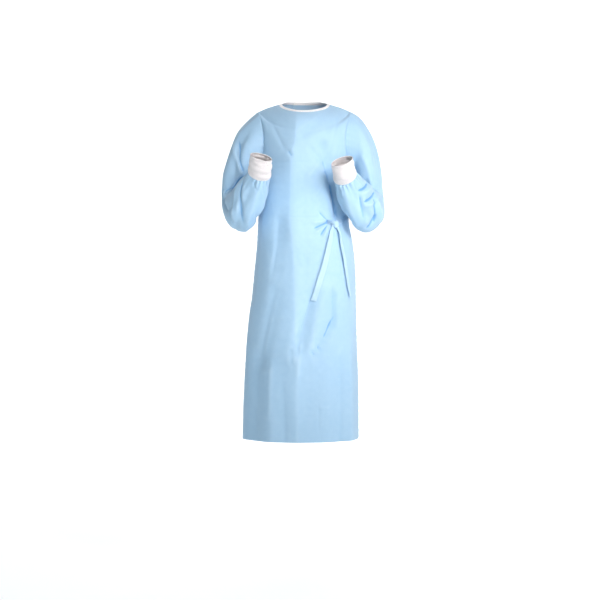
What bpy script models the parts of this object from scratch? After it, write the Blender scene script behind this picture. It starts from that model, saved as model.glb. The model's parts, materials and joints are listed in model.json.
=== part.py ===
"""A surgical gown in the hollow form it has when worn, elbows bent and forearms raised.

Metres, +Z up. The front faces -Y and +X is the wearer's left. The origin is the middle of
the neck opening at the height of the shoulder seams, where the wearer's shoulders hold it.

The cloth is a front panel, two back panels that overlap, two set-in sleeves, two knitted
cuffs and a neck binding. A long tie from the edge of the outer back panel and a short one
from the front meet in a knot at the left of the waist and hang down from it.

Every piece is a wall: its outer face is a grid of points read from the tables of sizes
below, and its inner face is the same grid moved in along the normals.
"""

from collections import namedtuple
import math

import bpy
import numpy as np

# Cloth
WALL = 0.0016
SEAM_GAP = 0.0003
BINDING_WALL = 0.0024
BINDING_WIDTH = 0.009
CUFF_WALL = 0.0022
TIE_WALL = 0.0012
TIE_WIDTH = 0.018
TIE_NARROW = 0.012
TIE_CLEARANCE = 0.0010

# Body
HEM_HEIGHT = -1.127
ARMPIT_HEIGHT = -0.235
SHOULDER_HEIGHT = -0.029
SIDE_SEAM_DEPTH = 0.010
ARMHOLE_X = 0.156
ARMHOLE_HALF_DEPTH = 0.078
ARMHOLE_HOLLOW = 0.020
NECK_EDGE = (0.084, 0.010, -0.004)
SHOULDER_ARCH = 0.003

# Back overlap, in shares of the half width from the middle of the back
INNER_BACK_EDGE = -0.3
OUTER_BACK_EDGE = 0.5
LAYER_RISE = 0.0042
LAYER_RISE_FROM = -0.9
LAYER_RISE_TO = -0.4

# Grid: rows from hem to armpit, round the armhole and along the shoulder seam
ROWS_BELOW = 21
ROWS_ARMHOLE = 10
ROWS_SHOULDER = 3
FRONT_COLUMNS = 28
BACK_COLUMNS = 20
SKEW_BIAS = 0.8
SHARP_ANGLE = math.radians(50)

# Heights from the hem to the armpit: half widths to each side, depths and squareness
Level = namedtuple("Level", "height right left front back square")
LEVELS = [
    Level(HEM_HEIGHT, -0.2060, 0.1830, -0.158, 0.142, 0.05),
    Level(-1.040, -0.2045, 0.1820, -0.154, 0.140, 0.05),
    Level(-0.930, -0.2020, 0.1810, -0.150, 0.138, 0.05),
    Level(-0.820, -0.1960, 0.1770, -0.146, 0.134, 0.05),
    Level(-0.690, -0.1810, 0.1725, -0.142, 0.128, 0.05),
    Level(-0.560, -0.1670, 0.1700, -0.138, 0.120, 0.05),
    Level(-0.470, -0.1590, 0.1615, -0.134, 0.110, 0.04),
    Level(-0.400, -0.1560, 0.1490, -0.130, 0.102, 0.03),
    Level(-0.330, -0.1520, 0.1500, -0.131, 0.106, 0.02),
    Level(ARMPIT_HEIGHT, -ARMHOLE_X, ARMHOLE_X, -0.133, 0.114, 0.0),
]

# Rings of the yoke, from 1 at the armpit through 2 at the shoulder point to 3 at the neck:
# the middle of the front and of the back, and the half turn of the arc out to their edges
Ring = namedtuple("Ring", "place front_z front_y front_turn back_z back_y back_turn")
YOKE = [
    Ring(1.00, ARMPIT_HEIGHT, -0.133, 90, ARMPIT_HEIGHT, 0.114, 90),
    Ring(1.15, -0.215, -0.133, 76, -0.212, 0.116, 71),
    Ring(1.30, -0.193, -0.132, 66, -0.187, 0.117, 57),
    Ring(1.50, -0.164, -0.130, 61, -0.152, 0.118, 51),
    Ring(1.75, -0.131, -0.126, 63, -0.109, 0.117, 55),
    Ring(2.00, -0.100, -0.118, 70, -0.071, 0.112, 66),
    Ring(2.50, -0.061, -0.097, 82, -0.028, 0.100, 80),
    Ring(3.00, -0.035, -0.072, 90, 0.002, 0.086, 90),
]

QUARTER_TURN = 90.0

# Folds as soft ridges (rise above zero) or troughs between two points of a panel, each
# point given by its distance round from the middle of the panel and its height
Fold = namedtuple("Fold", "u0 z0 u1 z1 half_width rise")
FRONT_FOLDS = [
    Fold(-0.028, -0.050, -0.046, -0.180, 0.030, 0.0035),
    Fold(-0.046, -0.180, -0.034, -0.420, 0.028, 0.0030),
    Fold(-0.034, -0.420, -0.024, -0.850, 0.030, 0.0040),
    Fold(-0.024, -0.850, -0.024, -1.127, 0.030, 0.0045),
    Fold(0.062, -0.060, -0.004, -0.115, 0.014, -0.0030),
    Fold(0.060, -0.150, 0.098, -0.245, 0.024, -0.0130),
    Fold(0.098, -0.245, 0.120, -0.370, 0.020, -0.0090),
    Fold(0.030, -0.640, -0.012, -0.830, 0.024, -0.0060),
    Fold(0.062, -0.610, 0.030, -0.800, 0.022, 0.0050),
    Fold(0.100, -0.650, 0.095, -0.740, 0.020, -0.0070),
    Fold(0.095, -0.740, 0.052, -0.830, 0.018, -0.0055),
    Fold(0.130, -0.860, 0.128, -1.127, 0.026, -0.0075),
    Fold(0.178, -0.800, 0.182, -1.127, 0.026, 0.0060),
    Fold(-0.092, -0.640, -0.140, -0.860, 0.026, -0.0060),
    Fold(-0.160, -0.860, -0.165, -1.127, 0.030, -0.0070),
    Fold(-0.215, -0.700, -0.235, -1.127, 0.030, 0.0060),
    Fold(-0.080, -0.400, -0.092, -0.560, 0.022, -0.0040),
    Fold(-0.105, -0.900, -0.100, -1.127, 0.026, 0.0045),
]
BACK_FOLDS = [
    Fold(0.000, -0.140, 0.010, -0.360, 0.030, -0.0060),
    Fold(0.080, -0.420, 0.100, -1.127, 0.030, 0.0080),
    Fold(0.020, -0.480, 0.030, -1.127, 0.028, -0.0080),
    Fold(-0.060, -0.440, -0.075, -1.127, 0.032, 0.0080),
    Fold(-0.130, -0.480, -0.150, -1.127, 0.028, -0.0070),
    Fold(0.160, -0.520, 0.175, -1.127, 0.028, -0.0060),
]
EDGE_FADE = 0.10
NECK_FADE = 0.6

# Sleeve cap: the outer and inner point of each ring from the armhole to the upper arm
CapRing = namedtuple("CapRing", "x_out z_out x_in z_in y_mid half_depth")
SLEEVE_CAPS = {
    +1: [
        CapRing(0.187, -0.051, 0.1680, -0.2385, 0.010, 0.081),
        CapRing(0.215, -0.091, 0.1690, -0.2450, 0.010, 0.082),
        CapRing(0.239, -0.143, 0.1685, -0.2520, 0.009, 0.079),
        CapRing(0.253, -0.198, 0.1675, -0.2600, 0.006, 0.074),
        CapRing(0.260, -0.242, 0.1670, -0.2690, 0.004, 0.070),
    ],
    -1: [
        CapRing(0.186, -0.054, 0.1680, -0.2385, 0.010, 0.081),
        CapRing(0.221, -0.091, 0.1690, -0.2450, 0.010, 0.082),
        CapRing(0.244, -0.143, 0.1690, -0.2520, 0.009, 0.079),
        CapRing(0.261, -0.198, 0.1685, -0.2600, 0.006, 0.074),
        CapRing(0.273, -0.242, 0.1680, -0.2690, 0.004, 0.070),
    ],
}

# From the upper arm round the elbow and up the forearm: degrees turned, distance along the
# forearm, middle and half width across, and the depths inside and outside the bend
ArmRing = namedtuple("ArmRing", "turn along x_mid half_width inner outer")
ARM_RINGS = {
    +1: [
        ArmRing(0, 0.000, 0.2145, 0.0485, 0.055, 0.072),
        ArmRing(20, 0.000, 0.2150, 0.0500, 0.056, 0.077),
        ArmRing(40, 0.000, 0.2145, 0.0530, 0.056, 0.082),
        ArmRing(60, 0.000, 0.2125, 0.0560, 0.056, 0.085),
        ArmRing(80, 0.000, 0.2085, 0.0590, 0.056, 0.086),
        ArmRing(98, 0.000, 0.2030, 0.0615, 0.056, 0.084),
        ArmRing(114, 0.000, 0.1930, 0.0635, 0.055, 0.080),
        ArmRing(130, 0.000, 0.1800, 0.0630, 0.054, 0.074),
        ArmRing(130, 0.025, 0.1680, 0.0610, 0.052, 0.067),
        ArmRing(130, 0.055, 0.1560, 0.0545, 0.047, 0.057),
        ArmRing(130, 0.085, 0.1445, 0.0455, 0.040, 0.045),
        ArmRing(130, 0.106, 0.1365, 0.0395, 0.034, 0.036),
        ArmRing(130, 0.118, 0.1320, 0.0375, 0.031, 0.032),
    ],
    -1: [
        ArmRing(0, 0.000, 0.2225, 0.0555, 0.055, 0.072),
        ArmRing(20, 0.000, 0.2235, 0.0565, 0.056, 0.077),
        ArmRing(40, 0.000, 0.2225, 0.0575, 0.056, 0.082),
        ArmRing(60, 0.000, 0.2185, 0.0595, 0.056, 0.085),
        ArmRing(80, 0.000, 0.2130, 0.0615, 0.056, 0.086),
        ArmRing(98, 0.000, 0.2070, 0.0625, 0.056, 0.084),
        ArmRing(116, 0.000, 0.2000, 0.0620, 0.055, 0.080),
        ArmRing(134, 0.000, 0.1900, 0.0600, 0.054, 0.074),
        ArmRing(134, 0.025, 0.1800, 0.0570, 0.051, 0.066),
        ArmRing(134, 0.055, 0.1690, 0.0510, 0.046, 0.056),
        ArmRing(134, 0.085, 0.1585, 0.0430, 0.039, 0.044),
        ArmRing(134, 0.108, 0.1510, 0.0385, 0.033, 0.035),
        ArmRing(134, 0.120, 0.1475, 0.0370, 0.030, 0.031),
    ],
}
ELBOW_PIVOT_Y = -0.060
ELBOW_PIVOT_Z = -0.285
ELBOW_RADIUS = 0.062
ELBOW_SQUARE_RADIUS = 0.110

# Sleeve folds: from and to a ring of the sleeve and a direction round it, in degrees from
# the outer side through the inside of the elbow
SleeveFold = namedtuple("SleeveFold", "ring0 angle0 ring1 angle1 half_width rise")
SLEEVE_FOLDS = {
    +1: [
        SleeveFold(3.0, 40, 7.0, 60, 0.016, -0.0050),
        SleeveFold(7.0, 35, 10.0, 350, 0.013, -0.0050),
        SleeveFold(9.5, 335, 13.0, 315, 0.013, 0.0040),
        SleeveFold(12.0, 300, 16.5, 285, 0.014, -0.0045),
        SleeveFold(12.5, 250, 17.0, 255, 0.014, 0.0040),
        SleeveFold(8.0, 180, 13.0, 220, 0.016, -0.0050),
    ],
    -1: [
        SleeveFold(2.0, 60, 7.0, 80, 0.018, -0.0070),
        SleeveFold(2.0, 30, 7.0, 40, 0.016, 0.0050),
        SleeveFold(9.0, 20, 13.0, 330, 0.014, -0.0060),
        SleeveFold(11.0, 290, 16.5, 300, 0.014, -0.0060),
        SleeveFold(11.5, 260, 16.5, 262, 0.014, 0.0050),
        SleeveFold(8.0, 180, 12.0, 215, 0.016, -0.0050),
    ],
}
SLEEVE_FOLD_FADE = 2.0
SLEEVE_FOLD_TAPER = 1.2

# Cuff: distance up from the sleeve's end, share of that end's size, and degrees bent upright
CuffRing = namedtuple("CuffRing", "along size bend")
CUFF_RINGS = [
    CuffRing(0.000, 1.000, 0),
    CuffRing(0.011, 1.045, 2),
    CuffRing(0.023, 0.990, 6),
    CuffRing(0.037, 1.005, 11),
    CuffRing(0.051, 0.965, 16),
    CuffRing(0.065, 0.975, 20),
]
CUFF_LEAN = 0.17

# Ties on the front and side: places as distance across (x) and height
KNOT_PLACE = (0.0970, -0.4065)
KNOT_SIZE = (0.030, 0.018, 0.026)
KNOT_LIFT = 0.0079
KNOT_MARGIN = 0.0094
TiePoint = namedtuple("TiePoint", "x z width lift")
SHORT_TIE = [
    TiePoint(0.0730, -0.4010, 0.018, 0.0005),
    TiePoint(0.0795, -0.4033, 0.014, 0.0020),
    TiePoint(0.0864, -0.4062, 0.009, 0.0056),
]
SHORT_END = [
    TiePoint(0.0918, -0.4161, 0.009, 0.0065),
    TiePoint(0.0860, -0.4350, 0.014, 0.0020),
    TiePoint(0.0800, -0.4750, 0.018, 0.0010),
    TiePoint(0.0650, -0.5400, 0.018, 0.0010),
    TiePoint(0.0480, -0.6000, 0.018, 0.0010),
    TiePoint(0.0305, -0.6620, 0.018, 0.0010),
]
LONG_END = [
    TiePoint(0.1026, -0.4164, 0.009, 0.0065),
    TiePoint(0.1120, -0.4350, 0.014, 0.0020),
    TiePoint(0.1195, -0.4750, 0.018, 0.0010),
    TiePoint(0.1300, -0.5300, 0.018, 0.0010),
    TiePoint(0.1400, -0.5900, 0.018, 0.0010),
    TiePoint(0.1485, -0.6480, 0.018, 0.0010),
]
TIE_STEPS = 20

# The long tie's way round the side: share of the half width on the front, then the back
LONG_TIE_SIDE_HEIGHT = -0.372
LONG_TIE_ROOT_HEIGHT = -0.385
LONG_TIE_ROOT = 0.36
LONG_TIE_STEPS = 22
LONG_TIE_SEAM = 0.35
LONG_TIE_DROP = 0.10
LONG_TIE_STEP_FROM = 0.54
LONG_TIE_STEP_TO = 0.72

# Hook-and-loop tab at the back of the neck, on the outer panel's corner
TAB_FROM = 0.16
TAB_TO = 0.47
TAB_TOP = 2.86
TAB_BOTTOM = 2.42
TAB_WALL = 0.0012
TAB_CLEARANCE = 0.0007

CLOTH_BLUE = (0.42, 0.64, 0.86)
TIE_BLUE = (0.46, 0.68, 0.88)
KNIT_WHITE = (0.90, 0.89, 0.90)
BINDING_WHITE = (0.92, 0.93, 0.94)


def smooth(knots, values, at):
    """Values at the places asked for, on a smooth curve through the rows of a table."""
    knots = np.asarray(knots, float)
    values = np.asarray(values, float)
    at = np.asarray(at, float)
    slopes = np.gradient(values, knots, axis=0)
    i = np.clip(np.searchsorted(knots, at, side="right") - 1, 0, len(knots) - 2)
    step = knots[i + 1] - knots[i]
    t = (at - knots[i]) / step
    if values.ndim > 1:
        step, t = step[..., None], t[..., None]
    rise = values[i + 1] - values[i]
    a = slopes[i] * step - rise
    b = rise - slopes[i + 1] * step
    return values[i] + t * rise + t * (1 - t) * ((1 - t) * a + t * b)


def column(table, name):
    """One named column of a table, as an array."""
    return np.array([getattr(row, name) for row in table])


def level_at(name, height):
    """A column of the body's levels at any heights."""
    return smooth(column(LEVELS, "height"), column(LEVELS, name), height)


def armhole_point(side, angle):
    """Points of an armhole, the angle running from the shoulder forward and down."""
    half_height = (SHOULDER_HEIGHT - ARMPIT_HEIGHT) / 2
    x = side * (ARMHOLE_X - ARMHOLE_HOLLOW * np.sin(angle) ** 2)
    y = SIDE_SEAM_DEPTH - ARMHOLE_HALF_DEPTH * np.sin(angle)
    z = ARMPIT_HEIGHT + half_height * (1 + np.cos(angle))
    return np.stack([x, y, z], axis=-1)


def edge_points(side, face, place):
    """A panel's side edge: side seam (0 to 1), armhole (1 to 2), shoulder seam (2 to 3)."""
    height = HEM_HEIGHT + (ARMPIT_HEIGHT - HEM_HEIGHT) * np.clip(place, 0, 1)
    half_width = level_at("left" if side > 0 else "right", height)
    seam = np.stack([half_width, np.full_like(height, SIDE_SEAM_DEPTH), height], axis=-1)
    angle = math.pi * (2 - np.clip(place, 1, 2))
    armhole = armhole_point(side, -face * angle)
    along = np.clip(place - 2, 0, 1)[:, None]
    start = np.array([side * ARMHOLE_X, SIDE_SEAM_DEPTH, SHOULDER_HEIGHT])
    end = np.array([side * NECK_EDGE[0], NECK_EDGE[1], NECK_EDGE[2]])
    arch = np.array([0, 0, SHOULDER_ARCH]) * np.sin(math.pi * along)
    shoulder = start + (end - start) * along + arch
    place = place[:, None]
    return np.where(place <= 1, seam, np.where(place <= 2, armhole, shoulder))


def middle_points(face, place):
    """The middle line of the front (face -1) or the back (face +1), from hem to neck."""
    name = "front" if face < 0 else "back"
    height = HEM_HEIGHT + (ARMPIT_HEIGHT - HEM_HEIGHT) * np.clip(place, 0, 1)
    centre = (level_at("left", height) + level_at("right", height)) / 2
    low = np.stack([centre, level_at(name, height), height], axis=-1)
    at = np.clip(place, 1, 3)
    rings = column(YOKE, "place")
    y = smooth(rings, column(YOKE, name + "_y"), at)
    z = smooth(rings, column(YOKE, name + "_z"), at)
    high = np.stack([np.zeros_like(at), y, z], axis=-1)
    return np.where(place[:, None] <= 1, low, high)


def body_points(face, place, across):
    """The plain surface of the front or back: one arc from edge to edge at each place."""
    left, right = edge_points(+1, face, place), edge_points(-1, face, place)
    middle = middle_points(face, place)[:, None, :]
    name = "front_turn" if face < 0 else "back_turn"
    turn = smooth(column(YOKE, "place"), column(YOKE, name), np.clip(place, 1, 3))
    turn = np.radians(np.where(place <= 1, QUARTER_TURN, turn))[:, None]
    height = HEM_HEIGHT + (ARMPIT_HEIGHT - HEM_HEIGHT) * np.clip(place, 0, 1)
    square = np.where(place < 1, level_at("square", height), 0.0)[:, None]
    across = across[None, :]
    edge = np.where(across[..., None] > 0, left[:, None, :], right[:, None, :])
    puff = 1 + square * np.sin(math.pi * across) ** 2
    out = np.sin(turn * np.abs(across)) / np.sin(turn) * puff
    reach = (np.cos(turn * across) - np.cos(turn)) / (1 - np.cos(turn))
    x = middle[..., 0] + (edge[..., 0] - middle[..., 0]) * out
    y = edge[..., 1] + (middle[..., 1] - edge[..., 1]) * reach * puff
    z = edge[..., 2] + (middle[..., 2] - edge[..., 2]) * reach
    return np.stack([x, y, z], axis=-1)


def grid_normals(points, closed=False):
    """Unit normals of a grid, pointing out where columns run left and rows run up."""
    if closed:
        wrapped = np.concatenate([points[:, -1:], points, points[:, :1]], axis=1)
        along = np.gradient(wrapped, axis=1)[:, 1:-1]
    else:
        along = np.gradient(points, axis=1)
    normals = np.cross(along, np.gradient(points, axis=0))
    return normals / np.linalg.norm(normals, axis=-1, keepdims=True)


def fold_rise(u, z, folds):
    """Summed rise of the folds: each a soft ridge along its line, fading past its ends."""
    total = np.zeros_like(u)
    for fold in folds:
        du, dz = fold.u1 - fold.u0, fold.z1 - fold.z0
        length = math.hypot(du, dz)
        along = ((u - fold.u0) * du + (z - fold.z0) * dz) / length
        off = ((u - fold.u0) * dz - (z - fold.z0) * du) / length
        past = np.maximum(np.maximum(-along, along - length), 0)
        shape = np.exp(-((off / fold.half_width) ** 2) - (past / fold.half_width) ** 2)
        total += fold.rise * shape
    return total


def body_grid(face, columns):
    """Rows of places, columns across, and the folded outer surface of the whole face."""
    place = np.concatenate(
        [
            np.linspace(0, 1, ROWS_BELOW + 1),
            np.linspace(1, 2, ROWS_ARMHOLE + 1)[1:],
            np.linspace(2, 3, ROWS_SHOULDER + 1)[1:],
        ]
    )
    across = np.linspace(-1, 1, columns + 1)
    points = body_points(face, place, across)
    normals = -face * grid_normals(points)
    steps = np.linalg.norm(np.diff(points, axis=1), axis=-1)
    u = np.concatenate([np.zeros((len(place), 1)), np.cumsum(steps, axis=1)], axis=1)
    u -= u[:, [columns // 2]]
    inset = np.clip((1 - np.abs(across)) / EDGE_FADE, 0, 1)[None, :]
    below_neck = np.clip((3 - place) / NECK_FADE, 0, 1)[:, None]
    folds = FRONT_FOLDS if face < 0 else BACK_FOLDS
    rise = fold_rise(u, points[..., 2], folds) * inset * below_neck
    return place, across, points + normals * rise[..., None]


def sleeve_rings(side):
    """Every ring of a sleeve: its centre, and its half vectors out, into and round the bend."""
    top = (SHOULDER_HEIGHT + ARMPIT_HEIGHT) / 2
    rings = [
        (
            (side * ARMHOLE_X, SIDE_SEAM_DEPTH, top),
            (0, 0, (SHOULDER_HEIGHT - ARMPIT_HEIGHT) / 2),
            (0, -ARMHOLE_HALF_DEPTH, 0),
            (0, ARMHOLE_HALF_DEPTH, 0),
        )
    ]
    for cap in SLEEVE_CAPS[side]:
        centre = (side * (cap.x_out + cap.x_in) / 2, cap.y_mid, (cap.z_out + cap.z_in) / 2)
        out = (side * (cap.x_out - cap.x_in) / 2, 0, (cap.z_out - cap.z_in) / 2)
        front = (0, -cap.half_depth, 0)
        rings.append((centre, out, front, (0, cap.half_depth, 0)))
    table = ARM_RINGS[side]
    turn = np.radians(column(table, "turn"))
    along = column(table, "along")
    y = ELBOW_PIVOT_Y + ELBOW_RADIUS * np.cos(turn) - along * np.sin(turn)
    z = ELBOW_PIVOT_Z - ELBOW_RADIUS * np.sin(turn) - along * np.cos(turn)
    centres = np.stack([side * column(table, "x_mid"), y, z], axis=-1)
    wider = ELBOW_SQUARE_RADIUS - ELBOW_RADIUS
    path = centres + wider * np.stack([0 * turn, np.cos(turn), -np.sin(turn)], axis=-1)
    tangents = np.gradient(path, axis=0)
    tangents[0] = (0, 0, -1)
    tangents /= np.linalg.norm(tangents, axis=-1, keepdims=True)
    for arm, centre, tangent, bend in zip(table, centres, tangents, turn):
        out = np.array([side, 0, 0]) - side * tangent[0] * tangent
        out /= np.linalg.norm(out)
        fold = np.array([0, -math.cos(bend), math.sin(bend)])
        fold -= fold.dot(tangent) * tangent
        fold /= np.linalg.norm(fold)
        rings.append((centre, out * arm.half_width, fold * arm.inner, -fold * arm.outer))
    return np.array([np.concatenate(ring) for ring in rings])


def ring_points(rings, angle):
    """Points round each ring: outer side at 0, inside of the elbow at 90 degrees."""
    centre, out, inner, outer = np.split(rings[:, None, :], 4, axis=2)
    c, s = np.cos(angle)[None, :, None], np.sin(angle)[None, :, None]
    return centre + out * c + inner * np.maximum(s, 0) - outer * np.minimum(s, 0)


def sleeve_grid(side):
    """A sleeve's folded outer surface, rings down the arm and 20 points round each."""
    rings = sleeve_rings(side)
    angle = np.arange(2 * ROWS_ARMHOLE) * math.pi / ROWS_ARMHOLE
    points = ring_points(rings, angle)
    points[0] = armhole_point(side, angle)
    normals = side * grid_normals(points, closed=True)
    number = np.arange(len(rings))[:, None]
    rise = np.zeros(points.shape[:2])
    for fold in SLEEVE_FOLDS[side]:
        share = np.clip((number - fold.ring0) / (fold.ring1 - fold.ring0), 0, 1)
        past = np.maximum(np.maximum(fold.ring0 - number, number - fold.ring1), 0)
        swing = (fold.angle1 - fold.angle0 + 180) % 360 - 180
        line = np.radians(fold.angle0 + swing * share)
        off = (angle[None, :] - line + math.pi) % (2 * math.pi) - math.pi
        radius = np.linalg.norm(points - rings[:, None, :3], axis=-1)
        shape = np.exp(-((off * radius / fold.half_width) ** 2) - (past / SLEEVE_FOLD_TAPER) ** 2)
        rise += fold.rise * shape
    ends = np.minimum(number, len(rings) - 1 - number) / SLEEVE_FOLD_FADE
    rise *= np.clip(ends, 0, 1)
    return points + normals * rise[..., None]


def shared_normals(grids):
    """Normals of several grids, made the same wherever two of them share a point."""
    found, sums = {}, {}
    for name, (points, facing, closed) in grids.items():
        found[name] = facing * grid_normals(points, closed)
        keys = np.round(points * 1e5).astype(int).reshape(-1, 3)
        for key, normal in zip(map(tuple, keys), found[name].reshape(-1, 3)):
            sums[key] = sums.get(key, 0) + normal
    for name, (points, _, _) in grids.items():
        keys = np.round(points * 1e5).astype(int).reshape(-1, 3)
        merged = np.array([sums[key] for key in map(tuple, keys)])
        merged /= np.linalg.norm(merged, axis=-1, keepdims=True)
        found[name] = merged.reshape(points.shape)
    return found


def material(name, colour, roughness):
    """A plain cloth material."""
    made = bpy.data.materials.new(name)
    made.use_nodes = True
    shader = made.node_tree.nodes["Principled BSDF"]
    shader.inputs["Base Color"].default_value = (*colour, 1)
    shader.inputs["Roughness"].default_value = roughness
    shader.inputs["Metallic"].default_value = 0.0
    return made


def split_cells(points, a, b, c, d, bias):
    """Two triangles for each four-cornered cell, split from a to c or from b to d.

    The second way is taken where that diagonal is shorter than the first times the bias.
    """
    first = np.linalg.norm(points[c] - points[a], axis=-1)
    second = np.linalg.norm(points[d] - points[b], axis=-1)
    usual = (second >= first * bias)[..., None]
    one = np.where(usual, np.stack([a, b, c], -1), np.stack([a, b, d], -1))
    two = np.where(usual, np.stack([a, c, d], -1), np.stack([b, c, d], -1))
    return np.concatenate([one.reshape(-1, 3), two.reshape(-1, 3)])


def wall(name, outer, inner, look, closed=False, flip=False):
    """A closed solid between an outer and an inner grid of points, its rims filled."""
    rows, columns = outer.shape[:2]
    points = np.concatenate([outer.reshape(-1, 3), inner.reshape(-1, 3)])
    number = np.arange(rows * columns).reshape(rows, columns)
    if closed:
        number = np.concatenate([number, number[:, :1]], axis=1)
    corners = number[:-1, :-1], number[:-1, 1:], number[1:, 1:], number[1:, :-1]
    face = split_cells(points, *corners, SKEW_BIAS)
    under = rows * columns
    rims = [number[0], number[-1, ::-1]]
    if not closed:
        rims += [number[::-1, 0], number[:, -1]]
    ahead = np.concatenate([line[1:] for line in rims])
    behind = np.concatenate([line[:-1] for line in rims])
    rim = split_cells(points, ahead, behind, behind + under, ahead + under, 1.0)
    faces = np.concatenate([face, face[:, ::-1] + under, rim])
    if flip:
        faces = faces[:, ::-1]
    mesh = bpy.data.meshes.new(name)
    mesh.from_pydata(points.tolist(), [], faces.tolist())
    mesh.materials.append(look)
    mesh.shade_smooth()
    mesh.set_sharp_from_angle(angle=SHARP_ANGLE)
    made = bpy.data.objects.new(name, mesh)
    GOWN.objects.link(made)
    return made


def drawn_in(grid, normals, first_column, last_column, first_row, last_row, closed):
    """A grid whose named edges are drawn back by half a seam's gap.

    Each point moves square to its edge and to its normal, which a seam's two sides share.
    """
    made = grid.copy()
    edges = [
        (first_column, (slice(None), 0), (slice(None), 1)),
        (last_column, (slice(None), -1), (slice(None), -2)),
        (first_row, (0,), (1,)),
        (last_row, (-1,), (-2,)),
    ]
    for wanted, edge, inside in edges:
        if wanted:
            line = grid[edge]
            along = np.gradient(line, axis=0)
            if closed:
                along = np.gradient(np.concatenate([line[-1:], line, line[:1]]), axis=0)[1:-1]
            step = np.cross(normals[edge], along)
            step /= np.linalg.norm(step, axis=-1, keepdims=True)
            inward = np.sign(((grid[inside] - grid[edge]) * step).sum())
            made[edge] = made[edge] + step * inward * SEAM_GAP / 2
    return made


def sewn_wall(name, outer, normals, edges, look, closed=False, flip=False, thickness=WALL):
    """A panel's wall, drawn back at its seams: first and last column, first and last row."""
    inner = drawn_in(outer - normals * thickness, normals, *edges, closed)
    wall(name, drawn_in(outer, normals, *edges, closed), inner, look, closed, flip)


def layer_offset(across):
    """How far the outer back panel stands off, across the back from its side seam."""
    share = (across - LAYER_RISE_FROM) / (LAYER_RISE_TO - LAYER_RISE_FROM)
    share = np.clip(share, 0, 1)
    return LAYER_RISE * share * share * (3 - 2 * share)


def make_body(front, back, sleeves, blue):
    """The front, the two overlapping back panels and the sleeves, with shared normals."""
    grids = {
        "front": (front[2], 1, False),
        "back": (back[2], -1, False),
        "left": (sleeves[+1], 1, True),
        "right": (sleeves[-1], -1, True),
    }
    normals = shared_normals(grids)
    edges = (True, True, False, False)
    sewn_wall("front_panel", front[2], normals["front"], edges, blue)
    across, points, normal = back[1], back[2], normals["back"]
    under = across >= INNER_BACK_EDGE - 1e-6
    edges = (False, True, False, False)
    sewn_wall("back_panel_inner", points[:, under], normal[:, under], edges, blue, flip=True)
    over = across <= OUTER_BACK_EDGE + 1e-6
    raised = points[:, over] + normal[:, over] * layer_offset(across[over])[None, :, None]
    edges = (True, False, False, False)
    sewn_wall("back_panel_outer", raised, normal[:, over], edges, blue, flip=True)
    edges = (False, False, True, True)
    for side, name in ((+1, "left"), (-1, "right")):
        grid = (sleeves[side], normals[name], edges, blue)
        sewn_wall("sleeve_" + name, *grid, closed=True, flip=side < 0)
    return normals


def cuff_rings(side):
    """The rings of a cuff, which goes on from the sleeve's last ring and bends upright."""
    centre, out, inner, outer = np.split(sleeve_rings(side)[-1], 4)
    axis = np.cross(out, inner) * side
    axis /= np.linalg.norm(axis)
    fold = inner / np.linalg.norm(inner)
    rings, last = [], 0.0
    for ring in CUFF_RINGS:
        bend = math.radians(ring.bend)
        ahead = axis * math.cos(bend) + fold * math.sin(bend) + np.array([side * CUFF_LEAN, 0, 0])
        centre = centre + ahead / np.linalg.norm(ahead) * (ring.along - last)
        last = ring.along
        across = fold * math.cos(bend) - axis * math.sin(bend)
        depths = [across * np.linalg.norm(inner), -across * np.linalg.norm(outer)]
        rings.append(np.concatenate([centre, *(half * ring.size for half in (out, *depths))]))
    return np.array(rings)


def make_cuff(side, name, knit):
    """A knitted cuff's wall."""
    angle = np.arange(2 * ROWS_ARMHOLE) * math.pi / ROWS_ARMHOLE
    points = ring_points(cuff_rings(side), angle)
    grid = (points, side * grid_normals(points, closed=True), (False, False, True, False), knit)
    sewn_wall("cuff_" + name, *grid, closed=True, flip=side < 0, thickness=CUFF_WALL)


def make_binding(front, back, normals, white):
    """The neck binding: one strip round the neckline, its ends lapped at the back."""
    across = back[1]
    under, over = across >= INNER_BACK_EDGE - 1e-6, across <= OUTER_BACK_EDGE + 1e-6
    lift = layer_offset(across[over])[:, None]
    line, normal = [], []
    for grid, normal_grid, keep, raised, backwards in (
        (back[2], normals["back"], under, 0.0, False),
        (front[2], normals["front"], slice(None), 0.0, True),
        (back[2], normals["back"], over, lift, False),
    ):
        edge, out = grid[-1][keep], normal_grid[-1][keep]
        edge = edge + out * raised
        order = slice(None, None, -1) if backwards else slice(None)
        line.append(edge[order])
        normal.append(out[order])
    line = np.concatenate([line[0], line[1][1:-1], line[2]])
    normal = np.concatenate([normal[0], normal[1][1:-1], normal[2]])
    along = np.gradient(line, axis=0)
    along /= np.linalg.norm(along, axis=-1, keepdims=True)
    rise = np.cross(along, normal)
    rise /= np.linalg.norm(rise, axis=-1, keepdims=True)
    proud = (BINDING_WALL - WALL) / 2
    outer = []
    for share in (0.0, 0.5, 1.0):
        height = SEAM_GAP + BINDING_WIDTH * share
        outer.append(line + rise * height + normal * proud)
    outer = np.stack(outer)
    inner = outer - normal[None] * BINDING_WALL
    wall("neck_binding", outer, inner, white, flip=True)


def on_panel(panel, across, place):
    """Points of a panel's outer face and its normals, at places across and up the panel."""
    rows, columns, points, normals = panel
    i = np.clip(np.searchsorted(rows, place) - 1, 0, len(rows) - 2)
    j = np.clip(np.searchsorted(columns, across) - 1, 0, len(columns) - 2)
    v = ((place - rows[i]) / (rows[i + 1] - rows[i]))[..., None]
    u = ((across - columns[j]) / (columns[j + 1] - columns[j]))[..., None]
    found = []
    for grid in (points, normals):
        low = grid[i, j] * (1 - u) + grid[i, j + 1] * u
        high = grid[i + 1, j] * (1 - u) + grid[i + 1, j + 1] * u
        found.append(low * (1 - v) + high * v)
    found[1] /= np.linalg.norm(found[1], axis=-1, keepdims=True)
    return found


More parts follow.
